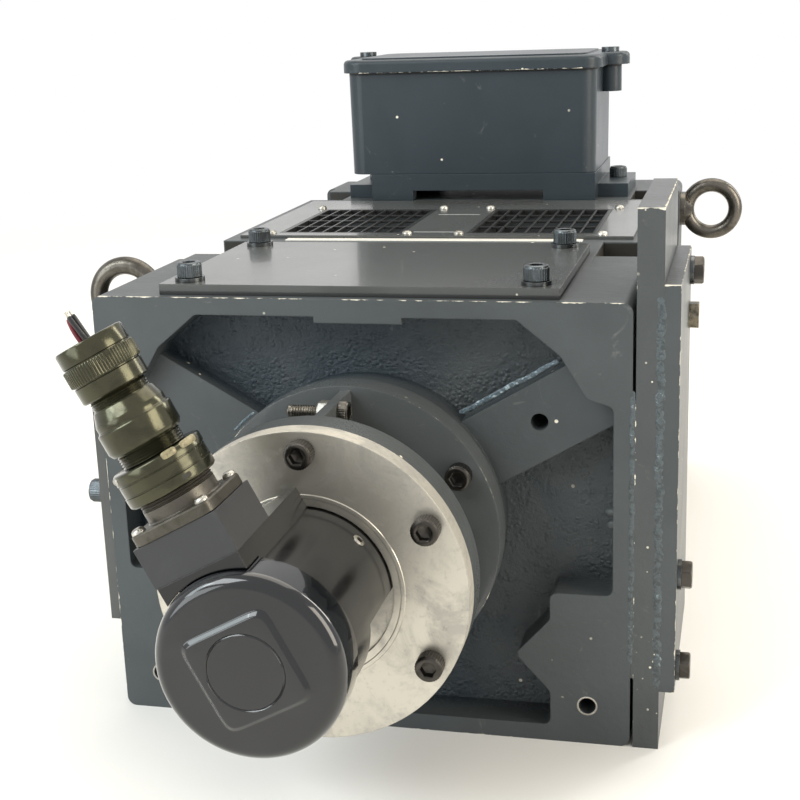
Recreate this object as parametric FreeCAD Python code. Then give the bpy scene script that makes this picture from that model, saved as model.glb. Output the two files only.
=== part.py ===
"""Square-frame direct-current motor with a ribbed end shield, encoder bell and terminal box.

Frame: the origin is the centre of the drive-end mounting face on the shaft axis.
+Y runs out along the drive shaft, +Z is up, and +X is to the right seen from the encoder end.
Lengths are millimetres. "Depth" values are measured from the front face of the encoder-end shield.
"""
import FreeCAD, Part
import math
import os

V = FreeCAD.Vector

# Castings and frame
shield_width = 215.0
shield_height = 180.0
shield_depth = 86.0
shield_wall = 12.0
shield_corner_radius = 4.0
stator_inset = 5.5
stator_length = 252.0
yoke_wall = 18.0
yoke_corner_cut = 32.0
drive_shield_depth = 38.0

# Relief on the front of the encoder-end shield
relief_depth = 17.8
relief_web = 12.0
relief_border = 7.0
relief_radius = 3.0
rib_width = 29.0
rib_angle = 30.0
rib_drop = 8.0
boss_setback = 1.9
corner_reach = 36.5
corner_knee_in = 20.0
corner_knee_drop = 13.5
corner_toe = 10.0
corner_drop = 33.0
lower_pad_width = 31.5
lower_pad_height = 64.0
nose_reach = 14.0
nose_drop = 27.0
nose_half_height = 15.5
top_step_left = -15.0
top_step_right = 20.0
top_step_height = 2.5

# Corner lugs and the bolts that hold the shields to the frame
lug_thickness = 14.0
lug_pocket_length = 38.0
lug_pocket_width = 19.0
lug_pocket_height = 26.0
frame_bolt_radius = 4.0
frame_bolt_head_radius = 6.5
frame_bolt_head_height = 8.0
frame_bolt_grip = 16.0

# Small cap screws, hex screws and washers
screw_radius = 3.0
screw_head_radius = 5.0
screw_head_height = 6.0
screw_socket_flats = 5.0
screw_socket_depth = 3.0
screw_grip = 5.5
hole_clearance = 0.3
washer_radius = 6.0
washer_thickness = 1.6
hex_flats = 10.0
hex_height = 4.0

# Tapped holes in the encoder-end shield
face_tap_radius = 3.4
face_tap_depth = 20.0
face_tap_inset_x = 16.8
face_tap_inset_z = 16.4
rib_tap_circle = 165.0

# Brush covers
cover_thickness = 3.0
gasket_thickness = 1.3
top_cover_half_width = 80.0
top_cover_front = 4.5
top_cover_length = 104.0
cover_screw_inset_x = 10.0
cover_screw_inset_y = 8.5
left_cover_bottom = -52.0
left_cover_height = 110.0
left_cover_length = 57.0
left_cover_thickness = 5.0
window_margin = 16.0
window_front = 34.0
window_back_rim = 6.0

# Plates on the right side
plate_thickness = 10.0
plate_gap = 1.2
plate_height = 215.0
plate_overhang = 2.0
plate_land_bottom = -60.0
plate_land_top = 52.0
pad_plate_thickness = 6.0
pad_plate_bottom = -65.0
pad_plate_top = 97.0
side_bolt_places = [(80.0, 88.0), (12.0, -20.0), (8.5, -57.0)]
earth_screw_place = (76.0, 70.0)
side_bolt_grip = 5.0

# Lifting eyes
eye_ring_radius = 14.0
eye_wire_radius = 4.0
eye_collar_radius = 10.0
eye_collar_height = 3.0
eye_stud_radius = 4.0
eye_stud_length = 8.0
eye_height = 75.0
eye_inset = 12.0

# Vent panel and grilles on top of the frame
panel_half_width = 96.0
panel_inset = 60.0
panel_gap = 12.0
panel_thickness = 1.5
vent_inner = 16.0
vent_outer = 78.0
vent_front_margin = 8.0
vent_back_margin = 35.0
grille_thickness = 1.2
grille_fit = 0.2
grille_columns = 9
grille_rows = 4
grille_rim = 2.0
grille_bar = 0.9
vent_screw_gap = 3.3
vent_screw_head = 2.4
vent_screw_height = 1.7
vent_screw_radius = 1.5
vent_screw_grip = 5.0

# Terminal box
riser_half_width = 64.0
riser_inset = 5.0
riser_length = 88.0
riser_height = 15.0
riser_wall = 9.0
riser_slot_left = -40.0
riser_slot_right = 35.0
riser_slot_height = 5.6
riser_foot_reach = 17.0
riser_foot_start = 14.0
riser_foot_length = 55.0
riser_foot_height = 7.5
riser_bolt_start = 48.0
box_left = -77.0
box_right = 64.2
box_height = 56.0
box_wall = 3.5
box_radius = 9.0
box_draft = 0.6
lid_overhang = 3.0
lid_height = 7.0
lid_edge_radius = 2.5
lid_panel_inset = 6.0
lid_panel_height = 0.8
lid_gasket = 1.0
lid_boss_radius = 6.5
lid_boss_height = 14.0
lid_ear = 4.5
lid_screw_offset = 3.8
lid_screw_stagger = 23.0
lid_screw_head = 2.5
lid_screw_slot = 1.2
board_length = 80.0
board_width = 46.0
board_thickness = 6.0
board_post_height = 8.0
stud_radius = 3.0
stud_height = 22.0
stud_pitch = 28.0

# Rotor and bearings
shaft_radius = 14.0
shaft_reach = 60.0
shaft_chamfer = 1.5
shaft_shoulder = 5.0
drive_bearing_bore = 15.0
drive_bearing_outer = 31.0
drive_bearing_width = 16.0
drive_bearing_inset = 10.0
rear_bearing_bore = 12.5
rear_bearing_outer = 26.0
rear_bearing_width = 15.0
rear_bearing_front = 8.0
bearing_race = 4.2
bearing_seal_gap = 0.5
spider_radius = 18.0
spider_step = 3.2
field_depth = 17.0
core_margin = 44.0
core_slots = 24
slot_width = 3.0
slot_depth = 2.4
winding_overhang = 30.0
winding_inner = 26.0
commutator_radius = 38.0
commutator_front = 42.0
commutator_length = 40.0
commutator_riser = 5.0
commutator_riser_height = 5.0
encoder_stub_radius = 6.0
encoder_stub_reach = 104.0
neck_radius = 10.0
running_clearance = 0.05

# Field system
air_gap = 1.5
pole_half_width = 14.0
pole_shoe_half_width = 30.0
pole_shoe_height = 7.0
pole_coil_width = 9.0
pole_coil_gap = 1.5
coil_clearance = 0.6
interpole_half_width = 5.0
interpole_gap = 3.5
interpole_coil_width = 5.0
interpole_coil_gap = 3.0
coil_end_overhang = 3.0

# Brush gear
rocker_inner = 42.0
rocker_outer = 64.0
rocker_thickness = 8.0
brush_width = 12.0
brush_length = 25.0
brush_height = 18.0
brush_gap = 0.3
brush_center = 64.0
holder_wall = 2.0
holder_clearance = 0.3
holder_bottom_gap = 2.5
brush_travel = 6.0
spring_radius = 4.0
spring_wire = 0.8
spring_turns = 4
spring_pack = 2.0
arm_half_width = 6.0

# Encoder bell and adapter ring
bell_flange_lip = 0.9
bell_flange_thickness = 12.0
bell_waist_drop = 18.0
bell_wall = 8.0
bell_disc_front = 62.0
bell_disc_thickness = 12.0
bell_rib_thickness = 4.0
bell_rib_setback = 1.0
bell_screw_inset = 7.5
bell_screw_angles = [30.0, 150.0, 270.0]
bell_rib_angles = [90.0, 210.0, 330.0]
cross_screw_radius = 2.5
cross_screw_head_radius = 4.25
cross_screw_head_height = 4.0
cross_screw_length = 20.0
cross_screw_depth = 28.0
cross_screw_height = 53.0
cross_nut_flats = 8.0
cross_nut_height = 4.0
adapter_radius = 58.0
adapter_thickness = 8.0
adapter_lip = 12.0
adapter_lip_thickness = 6.0
adapter_screw_count = 6

# Encoder and its connector
encoder_radius = 30.5
encoder_bore_gap = 0.5
encoder_turn = 28.0
encoder_body_end = 120.0
notch_depth = 23.9
notch_angle = -22.4
notch_first = 3.7
notch_last = -65.2
notch_end = 100.0
encoder_cap_front = 136.5
encoder_cap_edge = 4.5
encoder_cap_lip = 1.2
encoder_cap_overlap = 0.4
emblem_side = 33.0
emblem_corner = 4.0
emblem_height = 1.2
emblem_slope = 1.1
emblem_circle = 12.9
emblem_groove = 0.6
saddle_half_width = 15.5
saddle_top = 34.5
block_half_width = 16.0
block_front = 131.0
block_length = 30.0
block_top = 48.8
block_floor = 3.0
flange_half_width = 15.5
flange_corner = 2.0
flange_screw_inset = 3.2
flange_screw_grip = 5.0
flange_thickness = 4.0
receptacle_radius = 12.7
receptacle_bore = 9.0
receptacle_length = 12.0
nut_radius = 15.5
nut_length = 12.0
nut_start = 6.8
nut_chamfer = 0.8
nut_fit = 0.3
backshell_radius = 12.8
backshell_length = 15.3
backshell_chamfer = 0.8
backshell_barrel = 8.5
backshell_rim_radius = 12.0
backshell_cone_start = 11.2
backshell_top_radius = 10.4
backshell_gap = 4.9
collar_radius = 11.0
neck_length = 3.6
clamp_neck_radius = 10.0
clamp_radius = 11.7
clamp_length = 18.1
clamp_knurl_height = 0.6
clamp_knurl_length = 6.0
clamp_bore = 7.0
wire_radius = 1.3
wire_reach = 9.0
wire_spacing = 1.5
wire_offset = 2.4
wire_lean = 4.0

# Drive end
spigot_radius = 65.0
spigot_height = 3.5
flange_circle = 165.0
flange_tap_radius = 4.25
flange_tap_depth = 22.0
flange_tap_count = 4
seal_gap = 1.0
overhang_room = 3.0

# Worked-out places
half_width = shield_width / 2
half_height = shield_height / 2
half_stator = half_width - stator_inset
face_y = -(shield_depth + stator_length + drive_shield_depth)
stator_front = face_y + shield_depth
stator_rear = -drive_shield_depth
web_back = relief_depth + relief_web
cavity_x = half_width - shield_wall
cavity_z = half_height - shield_wall
yoke_x = half_stator - yoke_wall
yoke_z = half_height - yoke_wall
pole_seat = (yoke_x + yoke_z - yoke_corner_cut) / math.sqrt(2)
yoke_reach = min(yoke_x, yoke_z)
core_radius = yoke_reach - field_depth
pole_coil_bottom = core_radius + air_gap + pole_shoe_height + pole_coil_gap
pole_coil_top = math.sqrt(2) * (yoke_reach - coil_clearance) - pole_half_width - pole_coil_width
interpole_coil_bottom = core_radius + interpole_gap + interpole_coil_width / 2
interpole_coil_top = yoke_reach - interpole_coil_gap
core_front = shield_depth + core_margin
core_end = shield_depth + stator_length - core_margin
plate_depth = shield_depth + plate_overhang
riser_front = -face_y - riser_inset - riser_length
panel_front = shield_depth + panel_inset
panel_length = riser_front - panel_gap - panel_front
vent_front = panel_front + vent_front_margin
vent_length = panel_length - vent_front_margin - vent_back_margin
top = half_height
bottom = -half_height
bell_disc_back = bell_disc_front - bell_disc_thickness
bell_flange_radius = adapter_radius + bell_flange_lip
bell_waist_radius = adapter_radius - bell_waist_drop
bell_rib_radius = adapter_radius - bell_rib_setback
bell_screw_circle = 2 * (adapter_radius - bell_screw_inset)
boss_radius = bell_flange_radius - boss_setback
adapter_front = bell_disc_front + adapter_thickness
encoder_seat = adapter_front - (adapter_thickness - adapter_lip_thickness)
connector_center = block_front - block_length / 2


def at(depth):
    """Y of a point at a depth behind the front face of the encoder-end shield."""
    return face_y + depth


def box(x0, x1, y0, y1, z0, z1):
    """Block between two corners."""
    return Part.makeBox(x1 - x0, y1 - y0, z1 - z0, V(x0, y0, z0))


def rod(radius, y0, y1, x=0.0, z=0.0):
    """Cylinder along Y from y0 to y1."""
    return Part.makeCylinder(radius, y1 - y0, V(x, y0, z), V(0, 1, 0))


def tube(outer, inner, y0, y1):
    """Ring about the shaft axis."""
    return rod(outer, y0, y1).cut(rod(inner, y0 - 1, y1 + 1))


def outline(points, radius=0.0):
    """Closed wire through 3-D points, with every corner rounded to the radius."""
    edges = []
    joints = []
    count = len(points)
    for i in range(count):
        corner = points[i]
        before = (points[i - 1] - corner).normalize()
        after = (points[(i + 1) % count] - corner).normalize()
        if radius > 0:
            half = before.getAngle(after) / 2
            reach = radius / math.tan(half)
            middle = (before + after).normalize()
            start = corner + before * reach
            end = corner + after * reach
            crown = corner + middle * (radius / math.sin(half) - radius)
            edges.append(Part.Arc(start, crown, end).toShape())
            joints.append((start, end))
        else:
            joints.append((corner, corner))
    for i in range(count):
        edges.append(Part.LineSegment(joints[i - 1][1], joints[i][0]).toShape())
    return Part.Wire(Part.__sortEdges__(edges))


def prism_y(points, y0, y1, radius=0.0):
    """Outline in X and Z carried along Y."""
    wire = outline([V(x, y0, z) for x, z in points], radius)
    return Part.Face(wire).extrude(V(0, y1 - y0, 0))


def prism_z(points, z0, z1, radius=0.0):
    """Outline in X and Y carried along Z."""
    wire = outline([V(x, y, z0) for x, y in points], radius)
    return Part.Face(wire).extrude(V(0, 0, z1 - z0))


def rectangle(x0, x1, z0, z1):
    """Corner points of a rectangle."""
    return [(x0, z0), (x1, z0), (x1, z1), (x0, z1)]


def mirrored(points):
    """Points followed by their mirror images across X = 0, in order round the outline."""
    return points + [(-x, z) for x, z in reversed(points)]


def cut_corner(half_x, half_z, cut):
    """Octagon: a rectangle with its four corners cut by the same amount."""
    right = [(half_x - cut, -half_z), (half_x, cut - half_z), (half_x, half_z - cut), (half_x - cut, half_z)]
    return mirrored(right)


def around(shape, degrees):
    """Copy turned about the shaft axis, counter-clockwise seen from the encoder end."""
    copy = shape.copy()
    copy.rotate(V(0, 0, 0), V(0, 1, 0), -degrees)
    return copy


def on_circle(radius, degrees):
    """X and Z at an angle counter-clockwise from +X, seen from the encoder end."""
    angle = math.radians(degrees)
    return radius * math.cos(angle), radius * math.sin(angle)


def spun(profile, start, direction, across):
    """Solid of revolution from (distance along, radius) pairs about an axis."""
    points = [start + direction * along + across * radius for along, radius in profile]
    wire = Part.makePolygon(points + points[:1])
    return Part.Face(wire).revolve(start, direction, 360)


def hex_bar(flats, height, start, direction, across):
    """Hexagonal prism standing on start."""
    corner = flats / math.sqrt(3)
    other = direction.cross(across)
    points = []
    for step in range(6):
        angle = math.radians(60 * step)
        points.append(start + (across * math.cos(angle) + other * math.sin(angle)) * corner)
    wire = Part.makePolygon(points + points[:1])
    return Part.Face(wire).extrude(direction * height)


def side_of(direction):
    """Unit vector square to a direction."""
    if abs(direction.z) < 0.9:
        return direction.cross(V(0, 0, 1)).normalize()
    return V(1, 0, 0)


def cap_screw(seat, direction, head_radius, head_height, shank_radius, shank, socket, socket_depth):
    """Socket cap screw whose head stands on seat and points along direction."""
    across = side_of(direction)
    head = Part.makeCylinder(head_radius, head_height, seat, direction)
    recess = hex_bar(socket, socket_depth, seat + direction * (head_height - socket_depth), direction, across)
    body = Part.makeCylinder(shank_radius, shank, seat, direction * -1)
    return head.cut(recess).fuse(body).removeSplitter()


def small_screw(seat, direction, shank):
    """Small cap screw with the shank length below its head."""
    return cap_screw(seat, direction, screw_head_radius, screw_head_height, screw_radius, shank,
                     screw_socket_flats, screw_socket_depth)


def hex_screw(seat, direction, shank):
    """Hexagon-head screw whose head stands on seat."""
    head = hex_bar(hex_flats, hex_height, seat, direction, side_of(direction))
    return head.fuse(Part.makeCylinder(screw_radius, shank, seat, direction * -1)).removeSplitter()


def washer(seat, direction):
    """Plain washer lying on seat."""
    disc = Part.makeCylinder(washer_radius, washer_thickness, seat, direction)
    hole = Part.makeCylinder(screw_radius, washer_thickness, seat, direction)
    return disc.cut(hole)


def drill(shape, seats, direction, radius, depth):
    """Shape with a round hole drilled from each seat, against the direction."""
    tools = [Part.makeCylinder(radius, depth, seat, direction * -1) for seat in seats]
    return shape.cut(tools)


def save(name, *solids):
    """Write one node's solids."""
    Part.makeCompound([piece for solid in solids for piece in solid.Solids]).exportStep(f"parts/{name}.step")


os.makedirs("parts", exist_ok=True)
UP = V(0, 0, 1)
LEFT = V(-1, 0, 0)
RIGHT = V(1, 0, 0)
FRONT = V(0, -1, 0)
BACK = V(0, 1, 0)

# Seats of the fasteners, used by the screws and by the holes they sit in
top_cover_back = top_cover_front + top_cover_length
cover_seat_z = top + gasket_thickness + cover_thickness
top_cover_screws = [(side * (top_cover_half_width - cover_screw_inset_x), depth)
                    for side in (-1, 1)
                    for depth in (top_cover_front + cover_screw_inset_y,
                                  top_cover_back - cover_screw_inset_y)]
left_cover_back = top_cover_front + left_cover_length
left_cover_top = left_cover_bottom + left_cover_height
left_cover_middle = (left_cover_bottom + left_cover_top) / 2
left_seat_x = -half_width - gasket_thickness - left_cover_thickness
left_cover_screws = [top_cover_front + cover_screw_inset_y, left_cover_back - cover_screw_inset_y]
plate_in = half_width + plate_gap
plate_out = plate_in + plate_thickness
pad_out = plate_out + pad_plate_thickness
frame_bolt_x = half_stator - lug_pocket_width / 2
frame_bolt_z = half_height - lug_pocket_height / 2
frame_bolt_corners = [(x, z) for x in (-frame_bolt_x, frame_bolt_x) for z in (-frame_bolt_z, frame_bolt_z)]
face_taps = [(side * (half_width - face_tap_inset_x), bottom + face_tap_inset_z) for side in (-1, 1)]
rib_tap = on_circle(rib_tap_circle / 2, rib_angle)
bell_screw_places = [on_circle(bell_screw_circle / 2, angle) for angle in bell_screw_angles]
adapter_screw_places = [on_circle(bell_screw_circle / 2, 90 + 360 / adapter_screw_count * step)
                        for step in range(adapter_screw_count)]


def relief_outline():
    """Edge of the recessed floor: stepped border, cut upper corners and nosed lower pads."""
    inner_x = half_width - relief_border
    inner_top = half_height - relief_border
    pad_x = half_width - lower_pad_width
    pad_top = bottom + lower_pad_height
    nose_z = pad_top - nose_drop
    right = [
        (pad_x, -inner_top),
        (pad_x, nose_z - nose_half_height),
        (pad_x - nose_reach, nose_z),
        (pad_x, nose_z + nose_half_height),
        (pad_x, pad_top),
        (inner_x, pad_top),
        (inner_x, inner_top - corner_drop),
        (inner_x - corner_toe, inner_top - corner_drop + relief_radius),
        (inner_x - corner_knee_in, inner_top - corner_knee_drop),
        (inner_x - corner_reach, inner_top),
    ]
    return mirrored(right)


def radial_rib(angle, y0, y1):
    """Straight rib running out from the shaft axis."""
    rib = box(0, shield_width, y0, y1, -rib_width / 2, rib_width / 2)
    return around(rib, angle)


def encoder_end_shield():
    """Cast box open to the frame, with a recessed and ribbed front and a bearing hub."""
    y0, y1 = at(0), at(shield_depth)
    body = prism_y(rectangle(-half_width, half_width, bottom, top), y0, y1, shield_corner_radius)
    chamber = prism_y(cut_corner(cavity_x, cavity_z, 2 * lug_pocket_width), at(web_back), y1, relief_radius)
    hub = rod(rear_bearing_outer + bearing_race * 2, at(web_back), at(web_back + bearing_race))
    relief = prism_y(relief_outline(), y0, at(relief_depth), relief_radius)
    keep = [radial_rib(angle, at(rib_drop), at(relief_depth)) for angle in (rib_angle, 180 - rib_angle)]
    step_top = half_height - relief_border
    keep.append(box(top_step_left, top_step_right, y0, at(relief_depth),
                    step_top - top_step_height, step_top))
    relief = relief.cut(keep + [rod(boss_radius, y0, at(relief_depth))])
    body = body.cut([chamber, relief]).fuse(hub)
    seat = rod(rear_bearing_outer, at(rear_bearing_front), at(shield_depth))
    neck = rod(rear_bearing_bore + bearing_race, y0, at(rear_bearing_front))
    window_x = top_cover_half_width - 2 * window_margin + cover_screw_inset_x
    window_back = at(shield_depth - window_back_rim)
    top_window = box(-window_x, window_x, at(window_front), window_back, cavity_z - 1, top)
    left_window = box(-half_width, 1 - cavity_x, at(window_front), at(left_cover_back - window_margin),
                      left_cover_bottom + window_margin, left_cover_top - window_margin)
    right_window = box(cavity_x - 1, half_width, at(window_front), window_back,
                       plate_land_bottom + window_margin, plate_land_top - window_margin)
    body = body.cut([seat, neck, top_window, left_window, right_window])
    front_screws = [V(x, at(depth), top) for x, depth in top_cover_screws if depth < shield_depth]
    body = drill(body, front_screws, UP, screw_radius, screw_grip)
    body = drill(body, [V(-half_width, at(d), left_cover_middle) for d in left_cover_screws], LEFT,
                 screw_radius, screw_grip)
    body = drill(body, [V(x, y1, z) for x, z in frame_bolt_corners], BACK, frame_bolt_radius, frame_bolt_grip)
    body = drill(body, [V(x, y0, z) for x, z in face_taps], FRONT, face_tap_radius, face_tap_depth)
    body = drill(body, [V(rib_tap[0], at(rib_drop), rib_tap[1])], FRONT, face_tap_radius, face_tap_depth)
    body = drill(body, [V(x, y0, z) for x, z in bell_screw_places], FRONT, screw_radius, screw_grip)
    eye = V(-half_width, at(shield_depth - eye_inset), eye_height)
    return drill(body, [eye], LEFT, eye_stud_radius, eye_stud_length)


def frame_pockets():
    """Corner pockets behind the lugs at both ends of the frame."""
    spans = [(stator_front + lug_thickness, stator_front + lug_thickness + lug_pocket_length),
             (stator_rear - lug_thickness - lug_pocket_length, stator_rear - lug_thickness)]
    pockets = []
    for y0, y1 in spans:
        for x in (-half_stator, half_stator - lug_pocket_width):
            for z in (bottom, top - lug_pocket_height):
                pockets.append(box(x, x + lug_pocket_width, y0, y1, z, z + lug_pocket_height))
    return pockets


def vent_openings(gap, z0, z1):
    """The two vent openings, wider by the gap on every side."""
    y0, y1 = at(vent_front) - gap, at(vent_front + vent_length) + gap
    return [box(vent_inner - gap, vent_outer + gap, y0, y1, z0, z1),
            box(-vent_outer - gap, -vent_inner + gap, y0, y1, z0, z1)]


def yoke_cavity():
    """Octagonal space inside the frame."""
    return prism_y(cut_corner(yoke_x, yoke_z, yoke_corner_cut), stator_front, stator_rear)


def corner_bars():
    """Full-length bars at the corners of the frame, as wide and high as the pockets."""
    return [box(x, x + lug_pocket_width, stator_front, stator_rear, z, z + lug_pocket_height)
            for x in (-half_stator, half_stator - lug_pocket_width) for z in (bottom, top - lug_pocket_height)]


def stator_frame():
    """Square frame with an octagonal cavity, corner pockets and vent openings."""
    body = box(-half_stator, half_stator, stator_front, stator_rear, bottom, top)
    body = body.cut([yoke_cavity()] + frame_pockets() + vent_openings(0, yoke_z - 1, top))
    body = drill(body, vent_screw_seats(), UP, vent_screw_radius, panel_thickness + vent_screw_grip)
    rear_screws = [V(x, at(depth), top) for x, depth in top_cover_screws if depth >= shield_depth]
    body = drill(body, rear_screws, UP, screw_radius, screw_grip)
    through = lug_thickness
    body = drill(body, [V(x, stator_front + through, z) for x, z in frame_bolt_corners], BACK,
                 frame_bolt_radius, through)
    body = drill(body, [V(x, stator_rear, z) for x, z in frame_bolt_corners], BACK,
                 frame_bolt_radius, through)
    return drill(body, [V(x, y, top) for x, y in riser_bolt_places()], UP, screw_radius, screw_grip)


def drive_end_shield():
    """Cast end plate with a register, tapped mounting holes and the drive bearing seat."""
    body = prism_y(rectangle(-half_width, half_width, bottom, top), stator_rear, 0, shield_corner_radius)
    body = body.fuse(rod(spigot_radius, 0, spigot_height))
    seat_back = -drive_bearing_inset - drive_bearing_width
    hollow = rod(core_radius + overhang_room, stator_rear, seat_back - bearing_race)
    seat = rod(drive_bearing_outer, stator_rear, -drive_bearing_inset)
    way_out = rod(drive_bearing_bore + seal_gap, -drive_bearing_inset, spigot_height)
    body = body.cut([hollow, seat, way_out])
    taps = [on_circle(flange_circle / 2, 45 + 360 / flange_tap_count * step)
            for step in range(flange_tap_count)]
    body = drill(body, [V(x, 0, z) for x, z in taps], BACK, flange_tap_radius, flange_tap_depth)
    body = drill(body, [V(x, stator_rear + frame_bolt_grip, z) for x, z in frame_bolt_corners], BACK,
                 frame_bolt_radius, frame_bolt_grip)
    eye = V(half_width, -drive_shield_depth / 2, eye_height)
    return drill(body, [eye], RIGHT, eye_stud_radius, eye_stud_length)


def frame_bolts(seat_y, direction):
    """Four socket bolts through the corner lugs of one end."""
    shank = lug_thickness + frame_bolt_grip
    return [cap_screw(V(x, seat_y, z), direction, frame_bolt_head_radius, frame_bolt_head_height,
                      frame_bolt_radius, shank, screw_socket_flats, screw_socket_depth)
            for x, z in frame_bolt_corners]


def top_cover_layer(z0, z1):
    """One layer of the top brush cover, drilled for its screws."""
    layer = box(-top_cover_half_width, top_cover_half_width, at(top_cover_front), at(top_cover_back), z0, z1)
    seats = [V(x, at(depth), z1) for x, depth in top_cover_screws]
    return drill(layer, seats, UP, screw_radius + hole_clearance, z1 - z0)


def left_cover_layer(x0, x1):
    """One layer of the left brush cover, drilled for its screws."""
    layer = box(x0, x1, at(top_cover_front), at(left_cover_back), left_cover_bottom, left_cover_top)
    seats = [V(x0, at(depth), left_cover_middle) for depth in left_cover_screws]
    return drill(layer, seats, LEFT, screw_radius + hole_clearance, x1 - x0)


def side_seats(x):
    """Places of the hex bolts on the outer pad plate."""
    return [V(x, at(depth), z) for depth, z in side_bolt_places]


def side_plate():
    """Tall plate standing off the shield on a milled land."""
    body = box(plate_in, plate_out, at(0), at(plate_depth), bottom, bottom + plate_height)
    land = box(half_width, plate_in, at(0), at(shield_depth), plate_land_bottom, plate_land_top)
    return body.fuse(land).removeSplitter()


def side_pad():
    """Outer plate with the holes of its bolts."""
    body = box(plate_out, pad_out, at(0), at(plate_depth), pad_plate_bottom, pad_plate_top)
    earth = V(pad_out, at(earth_screw_place[0]), earth_screw_place[1])
    return drill(body, side_seats(pad_out) + [earth], RIGHT, screw_radius, side_bolt_grip)


def eyebolt(seat, direction):
    """Lifting eye: stud, collar, neck and a ring that faces along Y."""
    across = V(0, 1, 0)
    neck_end = eye_collar_height + eye_wire_radius
    profile = [(-eye_stud_length, 0), (-eye_stud_length, eye_stud_radius), (0, eye_stud_radius),
               (0, eye_collar_radius), (eye_collar_height, eye_collar_radius),
               (neck_end, eye_wire_radius), (neck_end, 0)]
    stem = spun(profile, seat, direction, across)
    center = seat + direction * (eye_ring_radius + eye_wire_radius)
    ring = Part.makeTorus(eye_ring_radius, eye_wire_radius, center, across)
    return stem.fuse(ring).removeSplitter()


def vent_screw_seats():
    """Places on the vent panel at the corners of both openings."""
    ends = (at(vent_front - vent_screw_gap), at(vent_front + vent_length + vent_screw_gap))
    return [V(side * reach, y, top + panel_thickness) for side in (-1, 1)
            for reach in (vent_inner - vent_screw_gap, vent_outer + vent_screw_gap) for y in ends]


def round_screw(seat, radius, head_radius, head_height, shank):
    """Upright screw with a domed head."""
    head = Part.makeCylinder(head_radius, head_height, seat, UP)
    crown = [edge for edge in head.Edges if edge.BoundBox.ZMin > seat.z + head_height / 2]
    head = head.makeFillet(0.9 * head_height, crown)
    return head.fuse(Part.makeCylinder(radius, shank, seat, UP * -1)).removeSplitter()


def vent_panel():
    """Sheet over the vent openings."""
    sheet = box(-panel_half_width, panel_half_width, at(panel_front), at(panel_front + panel_length),
                top, top + panel_thickness)
    sheet = sheet.cut(vent_openings(grille_fit, top, top + panel_thickness))
    return drill(sheet, vent_screw_seats(), UP, vent_screw_radius + hole_clearance, panel_thickness)


def vent_grille(x0, x1):
    """Flat grille of square slots that fills one vent opening, resting on the frame's edge."""
    y0, y1 = at(vent_front), at(vent_front + vent_length)
    z1 = top + panel_thickness
    z0 = z1 - grille_thickness
    sheet = box(x0, x1, y0, y1, z0, z1)
    pitch_x = (x1 - x0 - 2 * grille_rim + grille_bar) / grille_columns
    pitch_y = (y1 - y0 - 2 * grille_rim + grille_bar) / grille_rows
    slots = []
    for column in range(grille_columns):
        for row in range(grille_rows):
            left = x0 + grille_rim + column * pitch_x
            near = y0 + grille_rim + row * pitch_y
            slots.append(box(left, left + pitch_x - grille_bar, near, near + pitch_y - grille_bar, z0, z1))
    rim = box(x0, x1, y0, y1, top - grille_thickness, z0).cut(
        box(x0 + grille_rim, x1 - grille_rim, y0 + grille_rim, y1 - grille_rim, top - grille_thickness, z0))
    return sheet.cut(slots).fuse(rim).removeSplitter()


def riser_bolt_places():
    """X and Y of the bolts through the feet."""
    reach = riser_half_width + riser_foot_reach / 2
    return [(side * reach, at(riser_front + riser_bolt_start)) for side in (-1, 1)]


def terminal_riser():
    """Open frame between the motor and the terminal box, with feet and a slot in front and rear walls."""
    y0, y1 = at(riser_front), at(riser_front + riser_length)
    z1 = top + riser_height
    body = box(-riser_half_width, riser_half_width, y0, y1, top, z1)
    inner = riser_half_width - riser_wall
    inside = box(-inner, inner, y0 + riser_wall, y1 - riser_wall, top, z1)
    slot = box(riser_slot_left, riser_slot_right, y0, y1, top, top + riser_slot_height)
    outer = riser_half_width + riser_foot_reach
    foot_y = y0 + riser_foot_start
    feet = box(-outer, outer, foot_y, foot_y + riser_foot_length, top, top + riser_foot_height)
    body = body.fuse(feet).cut([inside, slot]).removeSplitter()
    seats = [V(x, y, top + riser_foot_height) for x, y in riser_bolt_places()]
    return drill(body, seats, UP, screw_radius + hole_clearance, riser_foot_height)


box_floor = top + riser_height
box_top = box_floor + box_height
lid_bottom = box_top + lid_gasket
box_front_y = at(riser_front)
box_back_y = at(riser_front + riser_length)
lid_screw_y = (box_front_y + box_back_y) / 2
lid_screw_places = [(box_left - lid_screw_offset, lid_screw_y + lid_screw_stagger),
                    (box_right + lid_screw_offset, lid_screw_y)]


def box_ring(grow, z0, z1, radius):
    """Rounded block on the terminal box's plan, grown by an amount."""
    plan = [(box_left - grow, box_front_y - grow), (box_right + grow, box_front_y - grow),
            (box_right + grow, box_back_y + grow), (box_left - grow, box_back_y + grow)]
    return prism_z(plan, z0, z1, radius)


def lid_bosses(radius, z0, z1):
    """Round bosses on both sides of the box, under the lid screws."""
    return [Part.makeCylinder(radius, z1 - z0, V(x, y, z0), UP) for x, y in lid_screw_places]


def drafted(grow, z0, z1, radius):
    """Box-plan solid that widens by the draft from z0 to z1."""
    low = box_ring(grow - box_draft, z0, z0 + 1, radius - box_draft).Faces
    high = box_ring(grow, z1, z1 + 1, radius).Faces
    floor = min(low, key=lambda face: face.CenterOfMass.z)
    roof = min(high, key=lambda face: face.CenterOfMass.z)
    return Part.makeLoft([floor.OuterWire, roof.OuterWire], True, True)


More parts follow.
